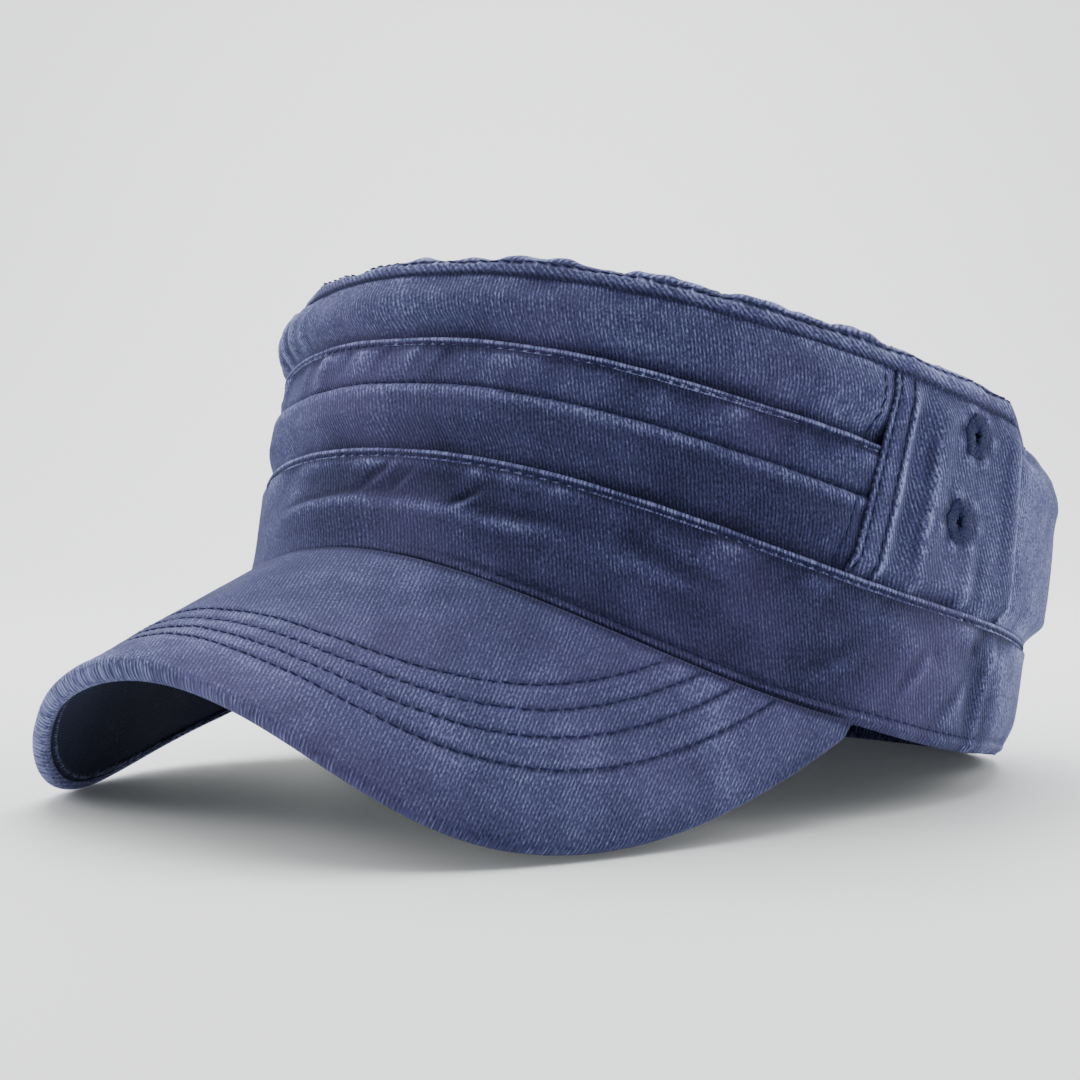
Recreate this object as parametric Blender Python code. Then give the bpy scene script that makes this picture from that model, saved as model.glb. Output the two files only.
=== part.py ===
"""A washed twill military cap: a low flat-topped crown, a band round the head and a curved peak.

Metres, +Z up, the front towards -Y and the wearer's left towards +X. The pieces are laid out level,
with height 0 at the band's lower edge beside the ears. The whole cap then tips back and rolls a
little until it rests on the peak's two corners and the back of the band, and its box stands centred
on the origin.
"""
import math
from collections import namedtuple

import bmesh
import bpy
from mathutils import Matrix, Vector

# cloth and the room between its layers
CLOTH = 0.0016
BAND_CLOTH = 0.0020
BORDER_CLOTH = 0.0024
CLEARANCE = 0.0003
SEAM_GAP = 0.0004

# plan of the band's top edge, and how the crown's top edge departs from it
HEAD_HALF_WIDTH = 0.0877
HEAD_FRONT_REACH = 0.0891
HEAD_BACK_REACH = 0.0939
ROUNDNESS = 2.23
CROWN_SIDE_TAPER = -0.0004
CROWN_FRONT_LEAN = -0.0006
CROWN_BACK_DRAW = 0.0060

# band: its height at the front, sides and back, and the rise of its lower edge
BAND_HEIGHT_FRONT = 0.0229
BAND_HEIGHT_SIDE = 0.0276
BAND_HEIGHT_BACK = 0.0236
FRONT_ARCH = 0.0188
ARCH_POWER = 1.73
BACK_LIFT = 0.0034
BAND_FLARE = 0.0005
HEM_PROUD = 0.0006

# crown wall above the band
WALL_HEIGHT_FRONT = 0.0391
WALL_HEIGHT_SIDE = 0.0457
WALL_HEIGHT_BACK = 0.0402
WALL_LAP = 0.0052
STRIP_TOP_HEIGHT = 0.0239
STRIP_LAP = 0.0030
PLEAT_FULLNESS = 0.0012
UPPER_FULLNESS = 0.0020
SHOULDER = 0.0016
BACK_FULLNESS = 0.0072
FOLD_DEPTH = 0.0012
DENT_DEPTH = 0.0016

# seams, as turns in degrees from the middle of the front, at the band and at the crown's top
FRONT_SEAM_LOW = 72.0
FRONT_SEAM_HIGH = 75.4
REAR_SEAM_LOW = 102.9
REAR_SEAM_HIGH = 99.1
BORDER_WIDTH = 0.0052
BORDER_PROUD = 0.0008
BORDER_STEP = 0.04

# felled edge and dome of the top
FELL_WIDTH = 0.0076
FELL_HEIGHT_FRONT = 0.0034
FELL_HEIGHT_SIDE = 0.0049
TOP_DOME = 0.0030

# vent holes in the side panels
HOLE_RADIUS = 0.0021
EYELET_WIDTH = 0.0022
EYELET_THICKNESS = 0.0012
EYELET_TURN = 89.3
EYELET_LEAN = 1.0
EYELET_HIGH = 0.0373
EYELET_LOW = 0.0184

# peak
PEAK_TURN = 75.0
PEAK_LENGTH = 0.0576
PEAK_DROOP = 33.2
PEAK_BEND_SLACK = 0.0042
PEAK_TAPER = 0.020
PEAK_CURL_START = -0.040
PEAK_CURL_FULL = 0.050
PEAK_CURL_DROP = 0.0160
PEAK_CURL_TUCK = 0.0460
PEAK_CORNER = 2.65
PEAK_TIP = 0.992
PEAK_TOP_CLOTH = 0.0019
PEAK_UNDER_CLOTH = 0.0011
PEAK_ROLL = 0.0032
PEAK_SEAM_GAP = 0.0006

# how far the back of the band is pressed flat by the surface that it rests on
FLATTENED = 0.0008
LEAN_LIMIT = math.radians(30.0)
ANGLE_ERROR = math.radians(0.0001)

# share of a skin's span stepped over to find its normal, and the angle from which an edge is sharp
NORMAL_STEP = 0.0025
SHARP_ANGLE = 50.0

# number of faces round the head, and round and through an eyelet
ROUND_STEPS = 72
TOP_STEPS = 60
PEAK_STEPS = 36
EYELET_STEPS = 14
EYELET_SIDES = 6

# share of the strip's height from the wall's foot at which a section lies, and its outward fullness
Section = namedtuple("Section", "rise out")
OVERLAY_SECTIONS = [
    Section(rise=0.07, out=-0.60),
    Section(rise=0.16, out=0.35),
    Section(rise=0.32, out=0.80),
    Section(rise=0.47, out=0.70),
    Section(rise=0.56, out=0.25),
    Section(rise=0.605, out=-0.75),
    Section(rise=0.68, out=-0.35),
    Section(rise=0.80, out=0.00),
]
# share of the back panel's height, and of its fullness
BACK_SECTIONS = [
    Section(rise=0.04, out=0.22),
    Section(rise=0.12, out=0.62),
    Section(rise=0.26, out=0.90),
    Section(rise=0.42, out=1.00),
    Section(rise=0.60, out=0.95),
    Section(rise=0.78, out=0.72),
    Section(rise=0.91, out=0.36),
    Section(rise=1.00, out=0.00),
]
# share of the felled edge's width and height, from the crown seam inwards
Fell = namedtuple("Fell", "inward height")
FELL_SECTIONS = [
    Fell(inward=0.00, height=0.08),
    Fell(inward=0.05, height=0.40),
    Fell(inward=0.22, height=0.72),
    Fell(inward=0.46, height=0.94),
    Fell(inward=0.72, height=1.00),
    Fell(inward=1.00, height=0.88),
]
# upright folds across a side panel: place and half-width as shares of its width, depth of FOLD_DEPTH
Fold = namedtuple("Fold", "place half_width depth")
SIDE_FOLDS = [
    Fold(place=0.24, half_width=0.07, depth=-0.9),
    Fold(place=0.40, half_width=0.08, depth=0.8),
    Fold(place=0.66, half_width=0.14, depth=-0.5),
    Fold(place=0.93, half_width=0.07, depth=0.9),
]
BACK_FOLDS = [
    Fold(place=0.20, half_width=0.05, depth=-1.0),
    Fold(place=0.36, half_width=0.06, depth=0.6),
    Fold(place=0.55, half_width=0.06, depth=-0.8),
    Fold(place=0.79, half_width=0.05, depth=-0.9),
]
# dents in the wall and band: turn and half-width in degrees, rise and half-height as shares of the
# wall's height (below 0 on the band), depth as a share of DENT_DEPTH
Dent = namedtuple("Dent", "turn half_width rise half_height depth")
DENTS = [
    Dent(turn=-24.0, half_width=6.0, rise=0.16, half_height=0.12, depth=0.6),
    Dent(turn=4.0, half_width=9.0, rise=-0.13, half_height=0.10, depth=0.9),
    Dent(turn=17.0, half_width=5.0, rise=0.06, half_height=0.10, depth=0.8),
    Dent(turn=-8.0, half_width=10.0, rise=-0.36, half_height=0.12, depth=-0.7),
    Dent(turn=33.0, half_width=9.0, rise=-0.30, half_height=0.14, depth=0.5),
    Dent(turn=54.0, half_width=8.0, rise=0.20, half_height=0.12, depth=0.5),
    Dent(turn=44.0, half_width=10.0, rise=0.80, half_height=0.10, depth=0.6),
    Dent(turn=-14.0, half_width=9.0, rise=0.86, half_height=0.09, depth=0.5),
    Dent(turn=97.0, half_width=3.5, rise=-0.30, half_height=0.30, depth=0.8),
    Dent(turn=122.0, half_width=16.0, rise=-0.62, half_height=0.20, depth=1.7),
    Dent(turn=-122.0, half_width=16.0, rise=-0.62, half_height=0.20, depth=1.4),
    Dent(turn=-52.0, half_width=8.0, rise=0.22, half_height=0.12, depth=0.7),
    Dent(turn=-96.0, half_width=5.0, rise=-0.28, half_height=0.26, depth=0.7),
    Dent(turn=150.0, half_width=9.0, rise=-0.20, half_height=0.16, depth=0.7),
    Dent(turn=-140.0, half_width=8.0, rise=-0.24, half_height=0.16, depth=0.6),
]

# rows of the peak from its outer edge to the band: rolled is a share of the rolled edge's width and
# field of the rest, edge is the share of the half thickness, and thin rows have only the upper cloth
PeakRow = namedtuple("PeakRow", "rolled field edge thin")
PEAK_ROWS = [
    PeakRow(rolled=0.00, field=0.00, edge=0.35, thin=False),
    PeakRow(rolled=0.14, field=0.00, edge=0.78, thin=False),
    PeakRow(rolled=0.50, field=0.00, edge=1.00, thin=False),
    PeakRow(rolled=1.00, field=0.00, edge=1.00, thin=False),
    PeakRow(rolled=1.03, field=0.00, edge=1.00, thin=True),
    PeakRow(rolled=1.12, field=0.00, edge=1.00, thin=True),
    PeakRow(rolled=1.12, field=0.16, edge=1.00, thin=True),
    PeakRow(rolled=1.12, field=0.34, edge=1.00, thin=True),
    PeakRow(rolled=1.12, field=0.56, edge=1.00, thin=True),
    PeakRow(rolled=1.12, field=0.78, edge=1.00, thin=True),
    PeakRow(rolled=1.12, field=1.00, edge=1.00, thin=True),
]

TWILL = (0.087, 0.096, 0.210, 1.0)
TWILL_PALE = (0.130, 0.143, 0.285, 1.0)
TWILL_DARK = (0.045, 0.048, 0.125, 1.0)
THREAD = (0.020, 0.022, 0.070, 1.0)


def smooth(start, end, value):
    """0 before start, 1 after end, and an even turn between them."""
    share = min(max((value - start) / (end - start), 0.0), 1.0)
    return share * share * (3.0 - 2.0 * share)


def signed_power(value, power):
    return math.copysign(abs(value) ** power, value)


def read_sections(sections, rise):
    """Outward share at a rise, read along straight runs between the sections."""
    for low, high in zip(sections, sections[1:]):
        if rise <= high.rise:
            share = (rise - low.rise) / (high.rise - low.rise)
            return low.out + (high.out - low.out) * max(share, 0.0)
    return sections[-1].out


def bell(value, centre, half_width):
    return math.exp(-((value - centre) / half_width) ** 2)


def dent(turn, rise):
    """Inward depth of the dents at a place on the wall or the band."""
    depth = 0.0
    for mark in DENTS:
        away = (turn - mark.turn + 180.0) % 360.0 - 180.0
        shape = bell(away, 0.0, mark.half_width) * bell(rise, mark.rise, mark.half_height)
        depth += mark.depth * shape
    return DENT_DEPTH * depth


def plan(turn, rise, out):
    """Plan point of the wall; rise is the share of the wall's height and may be below 0 on the band."""
    angle = math.radians(turn)
    sine, cosine = math.sin(angle), math.cos(angle)
    half_width = HEAD_HALF_WIDTH - CROWN_SIDE_TAPER * rise
    if cosine > 0.0:
        reach = HEAD_FRONT_REACH + CROWN_FRONT_LEAN * rise
    else:
        reach = HEAD_BACK_REACH - CROWN_BACK_DRAW * rise
    power = 2.0 / ROUNDNESS
    side_normal = signed_power(sine, 2.0 - power) / half_width
    front_normal = -signed_power(cosine, 2.0 - power) / reach
    length = math.hypot(side_normal, front_normal)
    x = half_width * signed_power(sine, power) + out * side_normal / length
    y = -reach * signed_power(cosine, power) + out * front_normal / length
    return x, y


def between(turn, front, side, back, back_power=2):
    """A height that runs from its front value over the side value to its back value."""
    cosine = math.cos(math.radians(turn))
    if cosine > 0.0:
        return side + (front - side) * cosine ** 2
    return side + (back - side) * abs(cosine) ** back_power


def hem_height(turn):
    """Lower edge of the band: arched over the peak and lifted a little at the back."""
    turn = abs((turn + 180.0) % 360.0 - 180.0)
    if turn < PEAK_TURN:
        return FRONT_ARCH * (1.0 - (turn / PEAK_TURN) ** ARCH_POWER) ** 2
    share = (turn - PEAK_TURN) / (180.0 - PEAK_TURN)
    return BACK_LIFT * (0.5 - 0.5 * math.cos(math.pi * share))


def band_top_height(turn):
    front = FRONT_ARCH + BAND_HEIGHT_FRONT
    back = BACK_LIFT + BAND_HEIGHT_BACK
    return between(turn, front, BAND_HEIGHT_SIDE, back, back_power=4)


def wall_height(turn):
    return between(turn, WALL_HEIGHT_FRONT, WALL_HEIGHT_SIDE, WALL_HEIGHT_BACK)


def wall_point(turn, rise, out):
    out -= dent(turn, rise) * smooth(0.0, 0.10, rise) + SHOULDER * smooth(0.84, 1.0, rise)
    x, y = plan(turn, rise, out)
    return Vector((x, y, band_top_height(turn) + wall_height(turn) * rise))


def tucked(out, rise, turned_in):
    """Lead a wall's surface in behind the band at its foot."""
    inside = -(BAND_CLOTH + CLEARANCE)
    return inside + (out - inside) * smooth(0.0, turned_in, rise)


def lapped(v, turn):
    """Rise at v, which runs from -1 at the wall's hidden lower edge to 0 at the band's top, then 1."""
    return v if v > 0.0 else v * WALL_LAP / wall_height(turn)


def strip_top_rise():
    return STRIP_TOP_HEIGHT / WALL_HEIGHT_FRONT


def overlay_out(rise):
    share = rise / strip_top_rise()
    return tucked(PLEAT_FULLNESS * read_sections(OVERLAY_SECTIONS, share), rise, 0.20)


def upper_out(rise):
    """The upper panel lies behind the overlay below its folded edge, and comes forward above it."""
    behind = overlay_out(min(rise, strip_top_rise())) - CLOTH - CLEARANCE
    start = strip_top_rise()
    full = UPPER_FULLNESS * math.sin(math.pi * smooth(start, 1.0, rise))
    return behind + (full - behind) * smooth(start + 0.02, start + 0.16, rise)


def front_seam(rise):
    return FRONT_SEAM_LOW + (FRONT_SEAM_HIGH - FRONT_SEAM_LOW) * max(rise, 0.0)


def rear_seam(rise):
    return REAR_SEAM_LOW + (REAR_SEAM_HIGH - REAR_SEAM_LOW) * max(rise, 0.0)


def seam_clearance():
    """Half the gap between two panels, as a turn in degrees."""
    return math.degrees(0.5 * SEAM_GAP / HEAD_HALF_WIDTH)


def front_skin(out_at):
    """Skin of a front panel: u runs from the right seam to the left one, v as in lapped."""
    def skin(u, v):
        turn = u * (front_seam(v) - seam_clearance())
        return wall_point(turn, lapped(v, turn), out_at(v))
    return skin


def side_width():
    """Width of a side panel halfway up, measured round the wall."""
    return math.radians(rear_seam(0.5) - front_seam(0.5)) * HEAD_HALF_WIDTH


def side_out(u, rise):
    border = BORDER_WIDTH / side_width()
    folds = 0.0
    for fold in SIDE_FOLDS:
        folds += fold.depth * bell(u, fold.place, fold.half_width)
    fade = smooth(-0.05, 0.25, rise) * (1.0 - smooth(0.8, 1.0, rise))
    field = FOLD_DEPTH * folds * fade * smooth(border, border + 0.10, u)
    proud = BORDER_PROUD * (1.0 - smooth(border, border + BORDER_STEP, u))
    return tucked(field + proud, rise, 0.10)


def side_turn(u, rise):
    first = front_seam(rise) + seam_clearance()
    last = rear_seam(rise) - seam_clearance()
    return first + (last - first) * u


def side_skin(hand):
    """Skin of a side panel, hand +1 on the wearer's left: u runs back from the front seam."""
    def skin(u, v):
        turn = side_turn(u, v)
        point = wall_point(turn, lapped(v, turn), side_out(u, v))
        point.x *= hand
        return point
    return skin


def back_skin(u, v):
    """Skin of the back panel: u runs from the left rear seam round to the right one."""
    turn = rear_seam(v) + seam_clearance()
    turn += u * (360.0 - 2.0 * turn)
    ends = smooth(0.0, 0.24, u) * smooth(0.0, 0.24, 1.0 - u)
    folds = sum(fold.depth * bell(u, fold.place, fold.half_width) for fold in BACK_FOLDS)
    full = (BACK_FULLNESS * (1.0 - 0.25 * math.sin(math.pi * u) ** 2) + FOLD_DEPTH * folds) * ends
    out = full * read_sections(BACK_SECTIONS, v) if v > 0.0 else 0.0
    return wall_point(turn, lapped(v, turn), tucked(out, v, 0.14))


def band_skin(u, v):
    """Skin of the band: u is the turn, v runs from the lower edge to the upper edge."""
    low, high = hem_height(u), band_top_height(u)
    rise = (v - 1.0) * (high - low) / wall_height(u)
    lap = 1.0 - WALL_LAP / (high - low)
    hem = HEM_PROUD * (1.0 - smooth(0.0, 0.25, v))
    x, y = plan(u, rise, hem + BAND_FLARE * (1.0 - v) - dent(u, rise) * smooth(lap, lap - 0.25, v))
    return Vector((x, y, low + (high - low) * v))


def top_skin(u, v):
    """Skin of the top: u is the turn, v runs over the felled edge to 1 and then to 2 at the middle."""
    rim = wall_point(u, 1.0, 0.5 * CLOTH)
    middle = Vector((0.0, 0.5 * (HEAD_BACK_REACH - HEAD_FRONT_REACH), 0.0))
    middle.z = 0.5 * (wall_point(0.0, 1.0, 0.0).z + wall_point(180.0, 1.0, 0.0).z)
    place = min(v, 1.0) * (len(FELL_SECTIONS) - 1)
    index = min(int(place), len(FELL_SECTIONS) - 2)
    first, second = FELL_SECTIONS[index], FELL_SECTIONS[index + 1]
    share = place - index
    inward = FELL_WIDTH * (first.inward + (second.inward - first.inward) * share)
    height = between(u, FELL_HEIGHT_FRONT, FELL_HEIGHT_SIDE, FELL_HEIGHT_SIDE)
    height *= first.height + (second.height - first.height) * share
    towards = Vector((middle.x - rim.x, middle.y - rim.y, 0.0))
    edge = rim + towards.normalized() * inward
    across = max(v - 1.0, 0.0)
    height += (FELL_HEIGHT_SIDE * FELL_SECTIONS[-1].height - height) * smooth(0.0, 1.0, across)
    point = edge.lerp(middle, across)
    point.z = rim.z + (middle.z - rim.z) * smooth(0.0, 1.0, across)
    point.z += height + TOP_DOME * math.sin(0.5 * math.pi * across)
    return point


def peak_frame():
    """The peak's seam on the band: its middle, how far back it ends, the bend's radius and angle there."""
    start = band_skin(0.0, 0.0)
    end = band_skin(PEAK_TURN, 0.0)
    droop = math.radians(PEAK_DROOP)
    back = (start.y - end.y) / math.cos(droop)
    bend = end.x + PEAK_BEND_SLACK
    return start, back, bend, math.asin(end.x / bend)


def peak_sheet(angle, forward):
    """Middle surface of the peak: angle round the bend, forward from the seam's middle.

    The side over the wearer's right eye is curled further down and in than the other.
    """
    start, back, bend, last = peak_frame()
    droop = math.radians(PEAK_DROOP)
    radius = bend - PEAK_TAPER * (forward - back)
    out = min(max((forward - PEAK_CURL_START) / (PEAK_CURL_FULL - PEAK_CURL_START), 0.0), 1.0)
    curl = (min(angle, 0.0) / last * out) ** 2
    x = radius * math.sin(angle) + PEAK_CURL_TUCK * curl
    y = start.y - forward * math.cos(droop)
    z = start.z - forward * math.sin(droop) - radius * (1.0 - math.cos(angle)) - PEAK_CURL_DROP * curl
    return Vector((x, y, z))


def peak_edge(share):
    """Angle and forward place of the peak's outer edge, share -1 to 1 across."""
    start, back, bend, last = peak_frame()
    angle = last * math.sin(0.5 * math.pi * share)
    full = (1.0 - abs(angle / last) ** PEAK_CORNER) ** (1.0 / PEAK_CORNER)
    return angle, back + (PEAK_LENGTH - back) * full


def peak_root(share):
    """Angle, forward place and lift of the peak's inner edge, just under the band's lower edge."""
    start, back, bend, last = peak_frame()
    droop = math.radians(PEAK_DROOP)
    under = band_skin(PEAK_TURN * share, 0.0)
    forward = (start.y - under.y) / math.cos(droop)
    radius = bend - PEAK_TAPER * (forward - back)
    angle = math.asin(min(max(under.x / radius, -1.0), 1.0))
    return angle, forward, under.z - peak_sheet(angle, forward).z


def peak_width(share):
    """Width of the peak from its edge to the band, at a share -1 to 1 across."""
    edge = peak_sheet(*peak_edge(share))
    root = peak_sheet(*peak_root(share)[:2])
    return (edge - root).length


def peak_point(share, inset):
    """Middle surface of the peak at a distance in from its outer edge, and its upward normal."""
    edge_angle, edge_forward = peak_edge(share)
    root_angle, root_forward, lift = peak_root(share)
    place = inset / peak_width(share)
    angle = edge_angle + (root_angle - edge_angle) * place
    forward = edge_forward + (root_forward - edge_forward) * place
    point = peak_sheet(angle, forward)
    turn_step, forward_step = 0.01, 0.001
    across = peak_sheet(angle + turn_step, forward) - peak_sheet(angle - turn_step, forward)
    back = peak_sheet(angle, forward - forward_step) - peak_sheet(angle, forward + forward_step)
    point.z += lift * place
    return point, across.cross(back).normalized()


def normal_at(skin, u, v, span):
    """Outward normal of a skin, by small steps along both of its directions."""
    u_step, v_step = (span[1] - span[0]) * NORMAL_STEP, (span[3] - span[2]) * NORMAL_STEP
    low, high = max(v - v_step, span[2]), min(v + v_step, span[3])
    middle = 0.5 * (low + high)
    along = skin(u + u_step, middle) - skin(u - u_step, middle)
    up = skin(u, high) - skin(u, low)
    return along.cross(up).normalized()


def cloth_material(name, colour):
    material = bpy.data.materials.new(name)
    material.use_nodes = True
    shader = material.node_tree.nodes["Principled BSDF"]
    shader.inputs["Base Color"].default_value = colour
    shader.inputs["Roughness"].default_value = 0.88
    shader.inputs["Metallic"].default_value = 0.0
    return material


def add_object(name, bm, colour, rest):
    bmesh.ops.recalc_face_normals(bm, faces=bm.faces[:])
    if bm.calc_volume(signed=True) < 0.0:
        bmesh.ops.reverse_faces(bm, faces=bm.faces[:])
    mesh = bpy.data.meshes.new(name)
    bm.to_mesh(mesh)
    bm.free()
    mesh.shade_smooth()
    mesh.set_sharp_from_angle(angle=math.radians(SHARP_ANGLE))
    mesh.materials.append(cloth_material(name + "_cloth", colour))
    piece = bpy.data.objects.new(name, mesh)
    bpy.context.collection.objects.link(piece)
    piece.parent = rest
    return piece


def sew(name, colour, rest, columns, rows, outer, inner):
    """Lay a grid on the outer face of a cloth, then extrude it through to the inner face."""
    bm = bmesh.new()
    across, up = len(columns) - 1, len(rows) - 1
    bmesh.ops.create_grid(bm, x_segments=across, y_segments=up, size=1.0)
    column_tag = bm.verts.layers.int.new("column")
    row_tag = bm.verts.layers.int.new("row")
    for vert in bm.verts:
        vert[column_tag] = round((vert.co.x + 1.0) * 0.5 * across)
        vert[row_tag] = round((vert.co.y + 1.0) * 0.5 * up)
        vert.co = outer(columns[vert[column_tag]], rows[vert[row_tag]])
    bmesh.ops.remove_doubles(bm, verts=bm.verts[:], dist=1e-6)
    extruded = bmesh.ops.extrude_face_region(bm, geom=bm.faces[:])
    for vert in extruded["geom"]:
        if isinstance(vert, bmesh.types.BMVert):
            vert.co = inner(columns[vert[column_tag]], rows[vert[row_tag]])
    return add_object(name, bm, colour, rest)


def faces_of(skin, span, thickness, hand=1.0):
    """Outer and inner face of a cloth whose outer face is the skin."""
    def inner(u, v):
        return skin(u, v) - normal_at(skin, u, v, span) * (thickness(u, v) * hand)
    return skin, inner


def evenly(first, last, count):
    return [first + (last - first) * index / count for index in range(count + 1)]


def one_layer(u, v):
    return CLOTH


def make_front(rest):
    columns = evenly(-1.0, 1.0, 30)
    top = strip_top_rise()
    lap = STRIP_LAP / WALL_HEIGHT_FRONT
    span = (-1.0, 1.0, -1.0, 1.0)
    rows = [-1.0, 0.0] + [section.rise * top for section in OVERLAY_SECTIONS] + [top - lap, top]
    outer, inner = faces_of(front_skin(overlay_out), span, one_layer)
    sew("front_overlay", TWILL, rest, columns, rows, outer, inner)
    rows = [top - lap, top, top + 0.05, top + 0.14, 0.85, 0.93, 1.0]
    outer, inner = faces_of(front_skin(upper_out), span, one_layer)
    sew("front_upper_panel", TWILL_PALE, rest, columns, rows, outer, inner)


def make_side(rest, hand, label):
    border = BORDER_WIDTH / side_width()
    columns = [0.0, border, border + BORDER_STEP] + evenly(border + 0.12, 1.0, 9)
    rows = [-1.0, 0.0, 0.05, 0.10] + evenly(0.22, 1.0, 6)
    span = (0.0, 1.0, rows[0], 1.0)

    def thickness(u, v):
        raised = (1.0 - smooth(border, border + BORDER_STEP, u)) * smooth(0.0, 0.10, v)
        return CLOTH + (BORDER_CLOTH - CLOTH) * raised

    outer, inner = faces_of(side_skin(hand), span, thickness, hand)
    panel = sew("side_panel_" + label, TWILL, rest, columns, rows, outer, inner)
    for height, place in ((EYELET_HIGH, "upper"), (EYELET_LOW, "lower")):
        make_eyelet(rest, panel, hand, height, "eyelet_%s_%s" % (label, place))


def make_eyelet(rest, panel, hand, height, name):
    """A stitched ring bent to the side panel, and the hole that it edges."""
    v = height / WALL_HEIGHT_SIDE
    turn = EYELET_TURN + EYELET_LEAN * smooth(EYELET_LOW, EYELET_HIGH, height)
    u = (turn - side_turn(0.0, v)) / (side_turn(1.0, v) - side_turn(0.0, v))
    skin = side_skin(hand)
    span = (0.0, 1.0, 0.0, 1.0)
    radius = HOLE_RADIUS + 0.5 * EYELET_WIDTH
    bm = bmesh.new()
    bmesh.ops.create_circle(bm, segments=EYELET_SIDES, radius=0.5, cap_ends=False)
    for vert in bm.verts:
        vert.co = Vector((radius + vert.co.x * EYELET_WIDTH, 0.0, vert.co.y * EYELET_THICKNESS))
    bmesh.ops.spin(bm, geom=bm.edges[:] + bm.verts[:], cent=(0.0, 0.0, 0.0), axis=(0.0, 0.0, 1.0),
                   angle=2.0 * math.pi, steps=EYELET_STEPS, use_merge=True)
    for vert in bm.verts:
        around, up, lift = vert.co
        place = (u + around / side_width(), v + up / WALL_HEIGHT_SIDE)
        normal = normal_at(skin, *place, span) * hand
        vert.co = skin(*place) + normal * (lift + 0.5 * EYELET_THICKNESS + CLEARANCE)
    add_object(name, bm, THREAD, rest)

    outward = normal_at(skin, u, v, span) * hand
    turned = outward.to_track_quat("Z", "Y").to_matrix().to_4x4()
    drill = bmesh.new()
    bmesh.ops.create_cone(drill, cap_ends=True, segments=EYELET_STEPS, radius1=HOLE_RADIUS,
                          radius2=HOLE_RADIUS, depth=6.0 * CLOTH)
    bmesh.ops.transform(drill, matrix=Matrix.Translation(skin(u, v)) @ turned, verts=drill.verts[:])
    cutter = add_object(name + "_hole", drill, THREAD, rest)
    cutter.hide_render = True
    cutter.display_type = "WIRE"
    cut = panel.modifiers.new(name + "_hole", "BOOLEAN")
    cut.operation = "DIFFERENCE"
    cut.object = cutter


def make_back(rest):
    near = [0.0, 0.04, 0.09, 0.15, 0.20, 0.25]
    far = [1.0 - place for place in reversed(near)]
    columns = near + evenly(0.31, 0.69, 7) + far
    rows = [-1.0, 0.0] + [section.rise for section in BACK_SECTIONS]
    outer, inner = faces_of(back_skin, (0.0, 1.0, rows[0], 1.0), one_layer)
    sew("back_panel", TWILL, rest, columns, rows, outer, inner)


def make_band(rest):
    rows = [0.0, 0.14, 0.30, 0.52, 0.76, 1.0]
    outer, inner = faces_of(band_skin, (0.0, 360.0, 0.0, 1.0), lambda u, v: BAND_CLOTH)
    return sew("band", TWILL, rest, evenly(0.0, 360.0, ROUND_STEPS), rows, outer, inner)


def make_top(rest):
    rows = evenly(0.0, 1.0, len(FELL_SECTIONS) - 1) + [1.18, 1.45, 1.75, 2.0]
    outer, inner = faces_of(top_skin, (0.0, 360.0, 0.0, 2.0), one_layer)

    def inner_above_wall(u, v):
        point = inner(u, v)
        point.z = max(point.z, outer(u, 0.0).z)
        return point

    sew("top_panel", TWILL_PALE, rest, evenly(0.0, 360.0, TOP_STEPS), rows, outer, inner_above_wall)


def make_peak(rest):
    """Upper cloth with a rolled edge, and the under cloth that lies within the roll."""
    half = 0.5 * (PEAK_TOP_CLOTH + PEAK_UNDER_CLOTH + CLEARANCE)

    def layer(height_at, reach):
        def face(u, v):
            share = u * reach
            width = peak_width(share) - PEAK_SEAM_GAP
            roll = min(PEAK_ROLL, 0.5 * width)
            row = PEAK_ROWS[int(v)]
            inset = row.rolled * roll + row.field * (width - row.rolled * roll)
            point, normal = peak_point(share, inset)
            return point + normal * height_at(row)
        return face

    columns = evenly(-1.0, 1.0, PEAK_STEPS)
    rows = list(range(len(PEAK_ROWS)))
    top_under = half - PEAK_TOP_CLOTH
    peak = sew("peak_top", TWILL_PALE, rest, columns, rows,
               layer(lambda row: half * row.edge, PEAK_TIP),
               layer(lambda row: top_under if row.thin else -half * row.edge, PEAK_TIP))
    rows = [index for index, row in enumerate(PEAK_ROWS) if row.thin]
    under_up = top_under - CLEARANCE
    under = columns[1:-1]
    sew("peak_underside", TWILL_DARK, rest, under, rows[1:],
        layer(lambda row: under_up, PEAK_TIP), layer(lambda row: -half, PEAK_TIP))
    return peak


def lowest(spots, matrix, hand=0.0):
    """Lowest height of the spots once turned, of one hand's side only where a hand is given."""
    return min((matrix @ spot).z for spot in spots if spot.x * hand >= 0.0)


def leaning(tilt, roll):
    return Matrix.Rotation(-tilt, 4, "X") @ Matrix.Rotation(roll, 4, "Y")


def halve(is_short, limit):
    """The angle, within a limit either way, at which a test stops being true."""
    low, high = -limit, limit
    while high - low > ANGLE_ERROR:
        middle = 0.5 * (low + high)
        if is_short(middle):
            low = middle
        else:
            high = middle
    return low


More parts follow.
